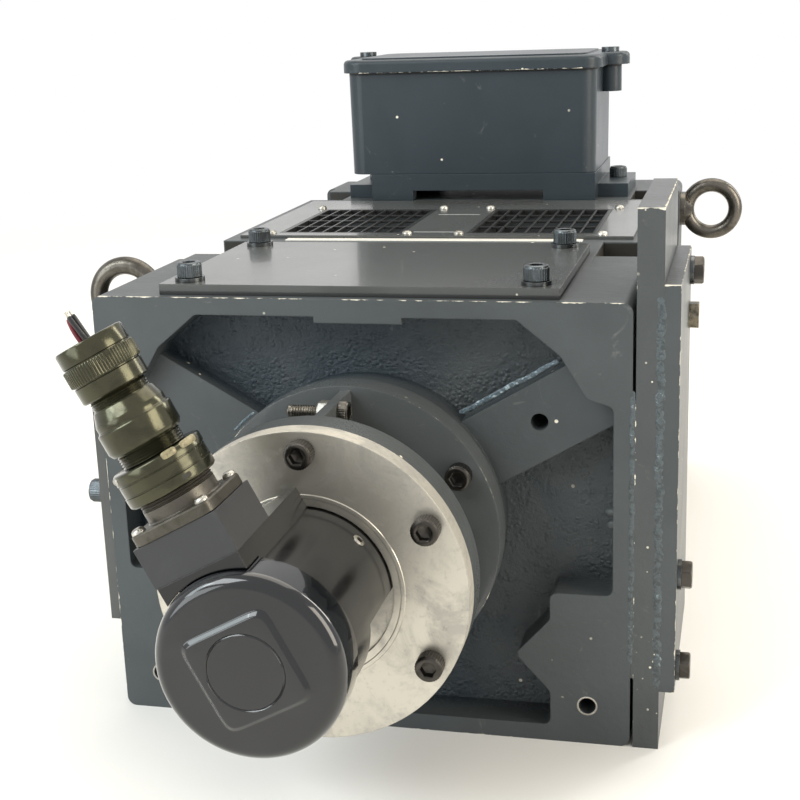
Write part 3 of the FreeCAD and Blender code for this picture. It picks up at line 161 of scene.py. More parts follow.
class Field:
    """A socket in a material's tree. Arithmetic on fields adds Math nodes."""

    def __init__(self, tree, socket):
        self.tree = tree
        self.socket = socket

    def node(self, kind, settings=None, inputs=None, output=0):
        """Add a node, apply its settings, then set or link its sockets, and give one output."""
        made = self.tree.nodes.new(kind)
        for key, value in (settings or {}).items():
            setattr(made, key, value)
        for key, value in (inputs or {}).items():
            if isinstance(value, Field):
                self.tree.links.new(value.socket, made.inputs[key])
            else:
                made.inputs[key].default_value = value
        return Field(self.tree, made.outputs[output])

    def math(self, operation, first, second=0.0):
        """One Math node."""
        return self.node("ShaderNodeMath", {"operation": operation}, {0: first, 1: second})

    def __add__(self, other):
        return self.math("ADD", self, other)

    def __sub__(self, other):
        return self.math("SUBTRACT", self, other)

    def __rsub__(self, other):
        return self.math("SUBTRACT", other, self)

    def __mul__(self, other):
        return self.math("MULTIPLY", self, other)

    def __pow__(self, other):
        return self.math("POWER", self, other)

    def __abs__(self):
        return self.math("ABSOLUTE", self)

    __radd__ = __add__
    __rmul__ = __mul__

    def largest(self, other):
        """The larger of two values."""
        return self.math("MAXIMUM", self, other)

    def above(self, edge, width):
        """0 under the edge, 1 over it, with a smooth change over the width."""
        start, stop = edge - width / 2, edge + width / 2
        return self.node("ShaderNodeMapRange", {"interpolation_type": "SMOOTHSTEP"},
                         {"Value": self, "From Min": start, "From Max": stop})

    def below(self, edge, width):
        """1 under the edge and 0 over it."""
        return 1 - self.above(edge, width)

    def axis(self, name):
        """One coordinate of a vector."""
        return self.node("ShaderNodeSeparateXYZ", None, {"Vector": self}, name)

    def length(self):
        """Length of a vector."""
        return self.node("ShaderNodeVectorMath", {"operation": "LENGTH"}, {0: self}, "Value")

    def from_shaft(self):
        """Distance of a place from the shaft axis."""
        return self.node("ShaderNodeMapping", None, {"Vector": self, "Scale": (1, 0, 1)}).length()

    def noise(self, scale, detail=2.0, rough=0.5, bend=0.0):
        """Cloudy noise about 0.5, with features about 1/scale metres across."""
        return self.node("ShaderNodeTexNoise", None,
                         {"Vector": self, "Scale": scale, "Detail": detail, "Roughness": rough,
                          "Distortion": bend})

    def cells(self, scale):
        """Distance to the nearest of many scattered points, in cell widths."""
        return self.node("ShaderNodeTexVoronoi", None, {"Vector": self, "Scale": scale}, "Distance")

    def blend(self, first, second):
        """Colour that goes from the first to the second as this value goes from 0 to 1."""
        return self.node("ShaderNodeMix", {"data_type": "RGBA"}, {0: self, 6: first, 7: second}, 2)


class Finish:
    """One material: a principled surface, with the part's own coordinates as a field."""

    def __init__(self, name, constants):
        self.material = bpy.data.materials.new(name)
        self.material.use_nodes = True
        self.tree = self.material.node_tree
        self.shader = self.tree.nodes["Principled BSDF"]
        for key, value in constants.items():
            self.shader.inputs[key].default_value = value
        self.place = Field(self.tree, self.tree.nodes.new("ShaderNodeTexCoord").outputs["Object"])

    def feed(self, socket, field):
        """Link a field to one of the surface's sockets."""
        self.tree.links.new(field.socket, self.shader.inputs[socket])

    def relief(self, height, depth, rounding=0.0):
        """Bump from a height field, over edges that are rounded by a small radius."""
        inputs = {"Height": height, "Distance": depth, "Strength": 1.0}
        if rounding > 0:
            inputs["Normal"] = self.place.node("ShaderNodeBevel", {"samples": 4},
                                               {"Radius": rounding})
        self.feed("Normal", self.place.node("ShaderNodeBump", None, inputs))


def edge_loss(place, edges, reach):
    """1 where paint is lost: closer to an edge line than a ragged width along it.

    Each edge is a pair of (axis, value) levels and an amount, where R is the distance from the
    shaft axis. A point's distance to the edge is the length of its two distances to the levels.
    """
    levels = {"R": place.from_shaft(), **{name: place.axis(name) for name in "XYZ"}}
    ragged = place.noise(240, detail=3.0, rough=0.6) + 0.5 * place.noise(60, detail=1.0)
    lost = None
    for (axis_a, value_a), (axis_b, value_b), amount in edges:
        away_a = levels[axis_a] - value_a
        away_b = levels[axis_b] - value_b
        away = (away_a * away_a + away_b * away_b) ** 0.5
        here = (ragged - away * (1 / reach)).above(1.25 - amount, 0.06)
        lost = here if lost is None else lost.largest(here)
    return lost


def painted(name, colour, grain, roughness, edges=(), reach=2.4 * MM, coat=0.0, recess=None,
            darkening=None, chipped=False):
    """Two-part machine paint over a casting or plate.

    Fine grain and shallow lumps raise the surface, and slow noise shifts the tone. Rare specks and
    the listed edges show the pale primer, with many small chips on the front where wanted. An
    optional recess mask gives a pebbled tone with painted shade, darker towards -X, and the inside
    of an optional darkening mask goes nearly black.
    """
    finish = Finish(name, {"Coat Weight": coat, "Coat Roughness": 0.08, "Specular IOR Level": 0.3})
    place = finish.place
    fine = place.noise(1500, detail=3.0, rough=0.65)
    lumps = place.noise(330)
    slow = place.noise(16, detail=3.0, rough=0.6, bend=0.6)
    rough_cast = recess(place) if recess else None
    tone = slow.above(0.52, 0.5).blend(colour, scaled(colour, 0.78))
    if rough_cast is not None:
        # Painted shade: the recess floor and walls go to the darker, bluer tone, most of all
        # towards -X
        shaded = (slow + place.axis("X") * 2.4).above(0.56, 0.4)
        tone = rough_cast.blend(tone, shaded.blend(ANTHRACITE_SHADE, colour))
    rubbed = place.noise(70, detail=4.0, rough=0.7, bend=1.2).above(0.7, 0.14)
    tone = (rubbed * 0.08).blend(tone, PRIMER)
    bare = place.cells(95).below(0.07, 0.03) * place.noise(40, detail=1.0).above(0.58, 0.06)
    if chipped:
        chips = place.cells(300).below(0.15, 0.06) * place.noise(45).above(0.54, 0.06)
        bare = bare.largest(chips * place.axis("Y").below(face_y + CHIP_DEPTH, CHIP_SOFT))
    if edges:
        bare = bare.largest(edge_loss(place, edges, reach))
    # The inside of the darkening mask goes nearly black; for the frame this is its corner pockets
    if darkening:
        tone = (darkening(place) * (1.1 - fine * 0.4)).blend(tone, GRIME_AND_SHADE)
    finish.feed("Base Color", bare.blend(tone, PRIMER))
    matt = roughness if rough_cast is None else roughness - rough_cast * 0.1
    finish.feed("Roughness", matt + 0.16 * (slow - 0.5) + 0.12 * (fine - 0.5) + 0.25 * bare)
    height = (fine * 0.5 + lumps) * grain
    if rough_cast is not None:
        pebbles = place.cells(560).below(0.4, 0.5) * place.noise(120).above(0.5, 0.2)
        height = height + rough_cast * (fine + lumps * 1.4 + pebbles)
    finish.relief(height - bare * 0.35, 0.35 * MM, PAINT_ROUNDING)
    return finish.material


def welded(name, colour, speck, glint_level):
    """Painted weld bead: crisp small lumps with dark hollows.

    Tops go pale as a painted highlight where the noise passes the glint level, and the dark
    hollows are painted shade.
    """
    finish = Finish(name, {"Coat Weight": 0.3, "Coat Roughness": 0.1})
    place = finish.place
    crisp = place.noise(560, detail=3.0, rough=0.62, bend=0.5)
    # Painted highlight: pale colour on the tops of the lumps
    lit_tops = (crisp + 0.3 * place.noise(70)).above(glint_level, 0.08)
    # Painted shade: the hollows between the lumps go to half the colour
    tone = crisp.above(0.48, 0.2).blend(scaled(colour, 0.5), colour)
    finish.feed("Base Color", lit_tops.blend(tone, speck))
    finish.feed("Roughness", 0.34 + 0.2 * lit_tops)
    finish.relief(crisp + 0.4 * place.noise(1700), 0.6 * MM)
    return finish.material


def turned_metal(name, colour, cloud, roughness, lathe, rim=1.0):
    """Bright turned metal: fine rings about the shaft axis, cloudy marks and grit.

    The side past the rim radius is matt.
    """
    finish = Finish(name, {"Metallic": 1.0})
    place = finish.place
    radius = place.from_shaft()
    lines = radius.node("ShaderNodeTexNoise", {"noise_dimensions": "1D"},
                        {"W": radius, "Scale": lathe, "Detail": 2.0})
    marks = place.noise(52, detail=6.0, rough=0.68, bend=0.5).above(0.54, 0.2)
    grit = place.noise(420, detail=3.0, rough=0.7).above(0.62, 0.1)
    finish.feed("Base Color", (marks * 0.7 + grit * 0.25).blend(colour, cloud))
    finish.feed("Roughness", roughness + 0.1 * marks + 0.06 * (lines - 0.5) + 0.08 * grit
                + 0.25 * radius.above(rim, RIM_SOFT))
    finish.relief(lines * 0.5 + grit * 0.4, 0.02 * MM, TURNED_ROUNDING)
    return finish.material


def plated(name, colour, dark, roughness, grime=0.5, pits=0.0, metallic=1.0, rounding=0.3 * MM,
           coat=0.0):
    """Plated or oxidised small metal: slow tone changes, grime and tiny pits."""
    finish = Finish(name, {"Metallic": metallic, "Coat Weight": coat, "Coat Roughness": 0.12})
    place = finish.place
    slow = place.noise(130, detail=4.0, rough=0.6, bend=0.8)
    fine = place.noise(2600)
    pitted = place.cells(900).below(0.25, 0.2) * pits
    finish.feed("Base Color", (slow.above(0.55, 0.3) * grime + pitted * 0.6).blend(colour, dark))
    finish.feed("Roughness", roughness + 0.2 * (slow - 0.45) + 0.2 * pitted)
    finish.relief(fine * 0.3 + slow * 0.3 - pitted * 2.0, 0.05 * MM, rounding)
    return finish.material


def moulded(name, colour, roughness, coat, grain=0.3):
    """Lacquered or moulded surface: faint orange peel, dust and soft smears."""
    finish = Finish(name, {"Coat Weight": coat, "Coat Roughness": 0.04,
                           "Specular IOR Level": 0.5 - 0.35 * coat})
    place = finish.place
    peel = place.noise(700)
    smear = place.noise(45, detail=4.0, rough=0.6, bend=1.5)
    dust = place.noise(5200, detail=1.0).above(0.78, 0.04)
    pale = scaled(colour, 1.5, lift=0.006)
    finish.feed("Base Color", (smear.above(0.6, 0.25) * 0.35 + dust * 0.4).blend(colour, pale))
    finish.feed("Roughness", roughness + 0.16 * (smear - 0.45) + 0.2 * dust)
    finish.relief(peel * grain + smear * 0.1, 0.04 * MM, MOULDED_ROUNDING)
    return finish.material


def wound(name, colour, dark, pitch, metallic=0.0, roughness=0.45):
    """Windings and segmented copper: bands round the shaft axis with darker gaps."""
    finish = Finish(name, {"Metallic": metallic})
    place = finish.place
    turn = place.axis("X").math("ARCTAN2", place.axis("Z"), place.axis("X")) * pitch
    bands = turn.math("SINE", turn)
    gaps = bands.below(-0.8, 0.3)
    slow = place.noise(80, detail=3.0)
    finish.feed("Base Color", (gaps + slow * 0.3).blend(colour, dark))
    finish.feed("Roughness", roughness + 0.3 * gaps + 0.2 * (slow - 0.5))
    finish.relief(bands + slow, 0.2 * MM)
    return finish.material


def shield_recess(place):
    """1 on the sunk floor and walls of the encoder-end shield, 0 on its outer faces."""
    across, along, up = abs(place.axis("X")), place.axis("Y"), abs(place.axis("Z"))
    sunk = along.above(face_y + RECESS_START, RECESS_SLOPE)
    sunk = sunk * along.below(face_y + RECESS_END, RECESS_SOFT)
    return (sunk * across.below(shield_high.x - RECESS_BORDER, RECESS_SOFT)
            * up.below(shield_high.z - RECESS_BORDER, RECESS_SOFT))


def frame_pockets(place):
    """1 inside the bolt pockets at the frame's corners, 0 on its outer faces."""
    skin = POCKET_SKIN
    low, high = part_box("frame_corners")
    across, along, up = abs(place.axis("X")), place.axis("Y"), abs(place.axis("Z"))
    inside = across.below(high.x - skin, skin) * up.below(high.z - skin, skin)
    corner = (across.above(high.x - POCKET_WIDTH - skin, skin)
              * up.above(high.z - POCKET_HEIGHT - skin, skin))
    return inside * corner * along.above(low.y + skin, skin) * along.below(high.y - skin, skin)


def box_edges(node, **amounts):
    """Edge lines of a node's box, each named by two sides, with the amount of paint lost there."""
    low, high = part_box(node)
    sides = {"left": ("X", low.x), "right": ("X", high.x), "front": ("Y", low.y),
             "back": ("Y", high.y), "bottom": ("Z", low.z), "top": ("Z", high.z)}
    return [(*(sides[part] for part in name.split("_")), amount)
            for name, amount in amounts.items()]


shield_edges = box_edges("nde_end_shield", front_top=0.58, front_left=0.5, left_top=0.46,
                         front_bottom=0.42)
plate_edges = box_edges("side_plate", front_top=0.66, right_top=0.6, front_bottom=0.55)
plate_edges.append((("X", plate_low.x + PLATE_GAP), ("Y", plate_low.y), 0.38))
pad_edges = box_edges("side_pad", front_top=0.7, front_right=0.5, right_top=0.55, front_bottom=0.55)
lid_edges = box_edges("terminal_lid", front_bottom=0.5, front_top=0.5, left_bottom=0.55,
                      right_bottom=0.5)
bell_edges = [(("R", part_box("encoder_bell")[1].x), ("Y", face_y - BELL_FLANGE), 0.46)]

# Finishes by the name of the part's own material
finishes = {
    "frame_paint": painted("frame_paint", ANTHRACITE, grain=0.42, roughness=0.42,
                           edges=shield_edges, reach=1.8 * MM, recess=shield_recess,
                           darkening=frame_pockets),
    "cover_paint": painted("cover_paint", COVER_GREY, grain=0.14, roughness=0.24, coat=0.35),
    "pad_paint": painted("pad_paint", ANTHRACITE, grain=0.4, roughness=0.34, edges=pad_edges,
                         reach=2.0 * MM),
    "box_paint": painted("box_paint", SLATE, grain=0.22, roughness=0.34, edges=lid_edges,
                         coat=0.05),
    "panel_paint": painted("panel_paint", COVER_GREY, grain=0.1, roughness=0.24, coat=0.35),
    "grille_paint": painted("grille_paint", GRILLE_GREY, grain=0.1, roughness=0.3),
    "bell_paint": painted("bell_paint", BELL_GREY, grain=0.3, roughness=0.3, edges=bell_edges,
                          reach=1.4 * MM, coat=0.4),
    "oxide_steel": plated("oxide_steel", OXIDE, GRIME_AND_SHADE, roughness=0.28),
    "zinc_steel": plated("zinc_steel", ZINC, ZINC_DARK, roughness=0.34, grime=0.7, pits=0.8),
    "eye_steel": plated("eye_steel", EYE, GRIME_AND_SHADE, roughness=0.3, pits=0.3),
    "shaft_steel": turned_metal("shaft_steel", BARE_STEEL, STEEL_CLOUD, roughness=0.26, lathe=4200),
    "core_steel": plated("core_steel", CORE_GREY, GRIME_AND_SHADE, roughness=0.5),
    "turned_aluminium": turned_metal("turned_aluminium", ALUMINIUM, ALUMINIUM_CLOUD, roughness=0.36,
                                     lathe=2600, rim=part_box("adapter_ring")[1].x - RIM_INSET),
    "encoder_black": moulded("encoder_black", GLOSS_BLACK, roughness=0.26, coat=0.6),
    "block_black": moulded("block_black", CAST_BLACK, roughness=0.42, coat=0.1, grain=0.8),
    "olive_shell": plated("olive_shell", OLIVE, OLIVE_DARK, roughness=0.17, grime=0.6, pits=0.1,
                          metallic=0.85, rounding=0.15 * MM, coat=0.2),
    "seal_rubber": moulded("seal_rubber", GASKET, roughness=0.6, coat=0.0, grain=0.6),
    "board_plastic": moulded("board_plastic", PHENOLIC, roughness=0.4, coat=0.2),
    "stud_brass": plated("stud_brass", BRASS, GRIME_AND_SHADE, roughness=0.32, grime=0.4),
    "carbon": moulded("carbon", CARBON, roughness=0.6, coat=0.0, grain=0.8),
    "winding": wound("winding", VARNISH, GRIME_AND_SHADE, pitch=48),
    "copper": wound("copper", COPPER, GRIME_AND_SHADE, pitch=36, metallic=1.0, roughness=0.3),
    "wire_skin": moulded("wire_skin", WIRE_DARK, roughness=0.35, coat=0.2),
}

# Finishes of single nodes and of single pieces made below
node_finishes = {
    "side_plate": painted("plate_paint", PLATE_GREY, grain=0.8, roughness=0.36, edges=plate_edges,
                          coat=0.1, chipped=True),
    "washers": plated("washer_steel", WASHER_GREY, GRIME_AND_SHADE, roughness=0.26, grime=0.6),
    "encoder_body": moulded("body_black", BODY_BLACK, roughness=0.2, coat=0.1, grain=0.15),
    "earth_screw": plated("earth_zinc", EARTH_ZINC, EARTH_DARK, roughness=0.34, grime=0.9,
                          pits=1.0),
}
warm_oxide = plated("warm_oxide", WARM_OXIDE, GRIME_AND_SHADE, roughness=0.3)
screw_steel = plated("screw_steel", SCREW_GREY, GRIME_AND_SHADE, roughness=0.32, grime=0.8, pits=0.3)
nut_zinc = plated("nut_zinc", NUT_ZINC, NUT_DARK, roughness=0.5, grime=0.7)
receptacle_bronze = plated("receptacle_bronze", BRONZE, OLIVE_DARK, roughness=0.34, grime=0.6,
                           pits=0.2, metallic=0.7, rounding=0.15 * MM)
clip_tan = plated("clip_tan", CLIP_TAN, OLIVE_DARK, roughness=0.4, grime=0.9, pits=0.5,
                  metallic=0.3)
# Painted shade: a dark patch stands for the inside of the coupling nut's sight hole
hole_shade = plated("sight_hole", OLIVE_DARK, GRIME_AND_SHADE, roughness=0.7, grime=1.0, metallic=0.0)
tinned = plated("tinned", TINNED, TINNED_DARK, roughness=0.35)
wire_red = moulded("wire_red", WIRE_RED, roughness=0.35, coat=0.3)
strip_white = moulded("strip_white", STRIP_WHITE, roughness=0.35, coat=0.2)
line_pale = moulded("line_pale", LINE_PALE, roughness=0.4, coat=0.1)
cap_black = moulded("cap_black", GLOSS_BLACK, roughness=0.16, coat=1.0, grain=0.1)
weld_paint = welded("weld_paint", WELD_GREY, WELD_GLINT, glint_level=0.84)
bead_paint = welded("bead_paint", BEAD_BLUE, BEAD_GLINT, glint_level=0.78)

for node_name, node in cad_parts.items():
    for holder in node.material_slots:
        base = holder.material.name.split(".")[0] if holder.material else ""
        holder.material = node_finishes.get(node_name, finishes.get(base, finishes["oxide_steel"]))

# Piece making: angle over which an edge stays sharp, and how square a rounded square is
SHARP_ANGLE = math.radians(35.0)
MERGE_DISTANCE = 1e-6
SQUARE_POWER = 9.0


def unit(vector):
    """The vector at length 1."""
    return np.asarray(vector, float) / np.linalg.norm(vector)


def rings(rows, seat, axis, count=48):
    """Surface turned about an axis.

    A point is the seat, plus the row's height along the axis, plus the row's radius in the
    direction of its angle. A row's radius is a number or a function of the angle.
    """
    axis = unit(axis)
    across = unit(np.cross(axis, BACK if abs(axis[1]) < 0.9 else UP))
    angle = np.linspace(0, TAU, count + 1)
    height = np.array([row[0] for row in rows])[:, None, None]
    radius = np.array([form(angle) if callable(form) else np.full(count + 1, form)
                       for _, form in rows])
    outward = np.cos(angle)[:, None] * across + np.sin(angle)[:, None] * np.cross(axis, across)
    return np.asarray(seat) + height * axis + radius[..., None] * outward


def sweep(path, radius, reference, count=20):
    """Round surface along a path, each point of which carries a circle of its own radius."""
    along = np.gradient(path, axis=0)
    along = along / np.linalg.norm(along, axis=1, keepdims=True)
    across = np.cross(along, reference)
    across = across / np.linalg.norm(across, axis=1, keepdims=True)
    beside = np.cross(along, across)
    angle = np.linspace(0, TAU, count + 1)[None, :, None]
    circle = np.cos(angle) * across[:, None] + np.sin(angle) * beside[:, None]
    return path[:, None] + radius[:, None, None] * circle


def slab(low, high, bevel):
    """Flat plate with a bevelled upper edge.

    Rectangles are stacked from the base to a point in the middle of the top.
    """
    low, high = np.asarray(low), np.asarray(high)
    middle = (low + high) / 2
    half = (high - low)[:2] / 2
    corner = np.array([(-1, -1), (1, -1), (1, 1), (-1, 1), (-1, -1)])
    inset = np.array([0, 0, bevel, bevel])[:, None, None]
    flat = corner[None] * np.maximum(half - inset, 0)
    flat = np.concatenate([flat, np.zeros((1, 5, 2))]) + middle[:2]
    level = np.array([low[2], high[2] - bevel, high[2], high[2], high[2]])
    return np.concatenate([flat, np.broadcast_to(level[:, None, None], (5, 5, 1))], axis=2)


def hexagon(flats):
    """Radius of a hexagon with this distance across its flats, as a function of the angle."""
    return lambda angle: flats / 2 / np.cos(np.mod(angle, TAU / 6) - TAU / 12)


def knurl(radius, depth, ridges):
    """Radius with this many rounded ridges, as a function of the angle."""
    return lambda angle: radius - depth * (0.5 + 0.5 * np.cos(ridges * angle)) ** 2


def rounded_square(half):
    """Radius of a square with round corners, as a function of the angle."""
    return lambda angle: half / (np.abs(np.cos(angle)) ** SQUARE_POWER
                                 + np.abs(np.sin(angle)) ** SQUARE_POWER) ** (1 / SQUARE_POWER)


def turned(form, by):
    """A radius function turned about its axis by an angle."""
    return lambda angle: form(angle - by)


def from_mm(rows):
    """Rows of heights and radii in metres, from rows in millimetres."""
    def grown(form):
        """A radius or radius function in metres."""
        return (lambda angle: form(angle) * MM) if callable(form) else form * MM
    return [(height * MM, grown(form)) for height, form in rows]


def thread(first, last, crest, pitch=0.9, depth=0.45):
    """Rows of a run of thread: crests and roots in turn."""
    steps = np.arange(first, last, pitch)
    return [row for step in steps for row in ((step, crest), (step + pitch / 2, crest - depth))]


def about_shaft(radius, degrees, y):
    """Point on a circle about the shaft axis, counted from +X towards +Z."""
    return (radius * math.cos(math.radians(degrees)), y, radius * math.sin(math.radians(degrees)))


def closing(count, power):
    """Share of the full size along a run: 1 in the middle, falling to 0 close to both ends."""
    return np.sqrt(np.clip(1 - np.linspace(-1, 1, count) ** power, 0, 1))


def piece(name, grids, slot, body="housing", replaced=(), finish=None):
    """Object from point grids.

    Quads join neighbours, doubles merge at seams and poles, and faces turn outward.
    """
    points, faces, first = [], [], 0
    for grid in grids:
        rows, columns = grid.shape[:2]
        index = first + np.arange(rows * columns).reshape(rows, columns)
        corners = [index[:-1, :-1], index[:-1, 1:], index[1:, 1:], index[1:, :-1]]
        faces.append(np.stack(corners, -1).reshape(-1, 4))
        points.append(grid.reshape(-1, 3))
        first += rows * columns
    mesh = bpy.data.meshes.new(name)
    mesh.from_pydata(np.concatenate(points).tolist(), [], np.concatenate(faces).tolist())
    work = bmesh.new()
    work.from_mesh(mesh)
    bmesh.ops.remove_doubles(work, verts=work.verts, dist=MERGE_DISTANCE)
    bmesh.ops.recalc_face_normals(work, faces=work.faces)
    work.to_mesh(mesh)
    work.free()
    mesh.shade_smooth()
    mesh.set_sharp_from_angle(angle=SHARP_ANGLE)
    mesh.materials.append(finish or finishes[slot])
    made = bpy.data.objects.new(name, mesh)
    bpy.context.scene.collection.objects.link(made)
    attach(made, body)
    if replaced:
        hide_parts(*replaced)
    return made


# Cap screws and hex bolts
SCREW_RADIUS, SCREW_HEIGHT, SCREW_RIDGES = 5.0 * MM, 6.0 * MM, 30
SOCKET_FLATS, SOCKET_DEPTH = 5.0 * MM, 3.0 * MM
HEX_FLATS, HEX_HEIGHT = 10.0 * MM, 4.0 * MM
SCREW_CIRCLE = 50.5 * MM
ADAPTER_ANGLES = range(30, 390, 60)
BELL_ANGLES = (30, 150, 270)
COVER_SCREW_X = 70 * MM
COVER_SCREW_DEPTHS = (13 * MM, 100 * MM)
LEFT_SCREW_DEPTHS = (13 * MM, 53 * MM)
LEFT_SCREW_Z = 3 * MM
SIDE_BOLTS = ((80 * MM, 88 * MM), (12 * MM, -20 * MM), (8.5 * MM, -57 * MM))


def cap_screw(seat, axis, radius=SCREW_RADIUS, height=SCREW_HEIGHT):
    """Head of a socket screw: knurled side, rounded shoulder, hexagon socket."""
    grip = knurl(radius, 0.035 * radius, SCREW_RIDGES)
    socket = hexagon(SOCKET_FLATS)
    top = 0.14 * radius
    rows = [(0, 0), (0, 0.93 * radius), (0.25 * top, grip), (height - 1.6 * top, grip),
            (height - 1.3 * top, 0.94 * radius), (height - 0.5 * top, 0.92 * radius),
            (height, 0.8 * radius), (height, 0.62 * SOCKET_FLATS), (height - 0.3 * top, socket),
            (height - SOCKET_DEPTH, socket), (height - SOCKET_DEPTH - top, 0)]
    return rings(rows, seat, axis, 180)


def hex_bolt(seat, axis):
    """Hexagon head whose corners are turned off at the top."""
    side = hexagon(HEX_FLATS)
    rows = [(0, 0), (0, side), (0.82 * HEX_HEIGHT, side),
            (0.95 * HEX_HEIGHT, lambda angle: np.minimum(side(angle), 0.53 * HEX_FLATS)),
            (HEX_HEIGHT, 0.46 * HEX_FLATS), (HEX_HEIGHT, 0)]
    return rings(rows, seat, axis, 72)


adapter_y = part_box("adapter_screws")[0].y + SCREW_HEIGHT
bell_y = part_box("bell_screws")[0].y + SCREW_HEIGHT
cover_low, cover_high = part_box("cover_screws")
riser_low, riser_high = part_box("riser_bolts")
riser_middle, riser_seat = (riser_low.y + riser_high.y) / 2, riser_high.z - SCREW_HEIGHT
bolt_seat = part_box("side_bolts")[1].x - HEX_HEIGHT

piece("adapter_cap_screws",
      [cap_screw(about_shaft(SCREW_CIRCLE, angle, adapter_y), FRONT) for angle in ADAPTER_ANGLES],
      "oxide_steel", replaced=["adapter_screws"], finish=warm_oxide)
piece("bell_cap_screws",
      [cap_screw(about_shaft(SCREW_CIRCLE, angle, bell_y), FRONT) for angle in BELL_ANGLES],
      "oxide_steel", replaced=["bell_screws"], finish=warm_oxide)
piece("cover_cap_screws",
      [cap_screw((side * COVER_SCREW_X, face_y + depth, cover_high.z - SCREW_HEIGHT), UP)
       for side in (-1, 1) for depth in COVER_SCREW_DEPTHS]
      + [cap_screw((cover_low.x + SCREW_HEIGHT, face_y + depth, LEFT_SCREW_Z), LEFT)
         for depth in LEFT_SCREW_DEPTHS], "oxide_steel", replaced=["cover_screws"])
piece("riser_cap_screws",
      [cap_screw((x, riser_middle, riser_seat), UP)
       for x in (riser_low.x + SCREW_RADIUS, riser_high.x - SCREW_RADIUS)],
      "oxide_steel", replaced=["riser_bolts"])
piece("side_hex_bolts",
      [hex_bolt((bolt_seat, face_y + depth, z), RIGHT) for depth, z in SIDE_BOLTS],
      "oxide_steel", replaced=["side_bolts"], finish=warm_oxide)

# Brush springs: each coil climbs from its brush to the top of its holder
SPRING_RADIUS, SPRING_WIRE, SPRING_TURNS = 4.0 * MM, 0.45 * MM, 4
SPRING_ROOM, SPRING_GAP, SPRING_KEPT = 8.0 * MM, 0.3 * MM, 0.18
SPRING_STEPS, SPRING_CLOSING = 200, 60
BRUSHES = {"top": UP, "left": LEFT, "right": RIGHT, "bottom": DOWN}
brush_low, brush_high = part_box("brush_top")
brush_middle = np.array((0, (brush_low.y + brush_high.y) / 2, 0))


def coil(outward):
    """Round wire along a helix.

    Each point turns about the brush's axis while it climbs from the brush to the holder.
    """
    span = np.linspace(0, 1, SPRING_STEPS)[:, None]
    turn = TAU * SPRING_TURNS * span
    inset = SPRING_GAP + SPRING_WIRE
    climb = brush_high.z + inset + (SPRING_ROOM - 2 * inset) * span
    around = np.cos(turn) * np.cross(outward, BACK) + np.sin(turn) * np.array(BACK)
    path = brush_middle + climb * np.array(outward) + SPRING_RADIUS * around
    return sweep(path, SPRING_WIRE * closing(SPRING_STEPS, SPRING_CLOSING), outward, 12)


for name, outward in BRUSHES.items():
    spring = piece(f"{name}_brush_spring", [coil(outward)], "zinc_steel",
                   replaced=["brush_springs"])
    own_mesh(spring)

# Cable connector: heights along its axis, which leans from +Z towards -X, and radii, in millimetres
CONNECTOR_LEAN = math.radians(28)
CONNECTOR_AXIS = (-math.sin(CONNECTOR_LEAN), 0, math.cos(CONNECTOR_LEAN))
GRIP = knurl(12.3, 0.36, 72)
FLANGE, FLANGE_BACK, FLANGE_FRONT = rounded_square(15.5), rounded_square(15.2), rounded_square(15.0)
CLAMP_ROWS = [
    (95.4, 9.4), (95.4, 11.1), (95.9, 11.6), (100.9, 11.7), (101.2, 11.4), (101.5, 11.4),
    (101.6, 12.0), (102.1, GRIP), (107.0, GRIP), (107.4, 12.0), (107.5, 11.4), (107.8, 11.4),
    (108.1, 11.7), (112.7, 11.7), (113.3, 11.4), (113.5, 10.9), (113.5, 7.3), (113.2, 7.0),
    (104.5, 7.0), (104.5, 0)]
SHELL_ROWS = [
    (71.9, 9.0), *thread(72.0, 76.2, 11.0), (76.5, 10.8), (76.5, 11.9), (76.8, 12.1), (78.1, 12.8),
    (84.6, 12.8), (85.0, 12.5), (85.0, 12.2), (85.3, 12.2), (85.5, 12.0), (87.6, 12.0),
    (87.9, 11.8), (91.5, 10.5), (91.8, 10.2), (91.8, 10.0),
    *thread(92.0, 95.0, 10.0, pitch=0.8, depth=0.4), (95.5, 9.4)]
NUT_ROWS = [
    (59.6, 13.0), (59.6, 14.6), (60.0, 15.1), (60.4, 15.3), (63.4, 15.4), (63.6, 15.05),
    (63.9, 15.05), (64.0, 15.25), (67.4, 15.25), (67.5, 15.0), (67.8, 15.0), (68.0, 15.5),
    (70.8, 15.5), (71.3, 15.2), (71.6, 14.7), (71.6, 10.3)]
BARREL_ROWS = [
    (48.8, 9.0), (48.8, FLANGE_BACK), (49.1, FLANGE), (52.3, FLANGE), (52.8, FLANGE_FRONT),
    (52.8, 13.1), (53.2, 12.7), (57.0, 12.7), (57.2, 12.3), *thread(57.4, 60.6, 12.7), (61.0, 9.0)]
nut_low, nut_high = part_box("coupling_nut")
connector_foot = (0, (nut_low.y + nut_high.y) / 2, 0)
across_connector = unit(np.cross(CONNECTOR_AXIS, BACK))


def stacked(rows, count):
    """Turned surface about the connector's axis, from heights and radii in millimetres."""
    return rings(from_mm(rows), connector_foot, CONNECTOR_AXIS, count)


piece("clamp_nut_detail", [stacked(CLAMP_ROWS, 576)], "olive_shell", replaced=["clamp_nut"])
piece("backshell_detail", [stacked(SHELL_ROWS, 96)], "olive_shell", replaced=["backshell"])
piece("coupling_nut_detail", [stacked(NUT_ROWS, 128)], "olive_shell", "connector_nut",
      ["coupling_nut"])
piece("receptacle_detail", [stacked(BARREL_ROWS, 128)], "olive_shell", replaced=["receptacle"],
      finish=receptacle_bronze)

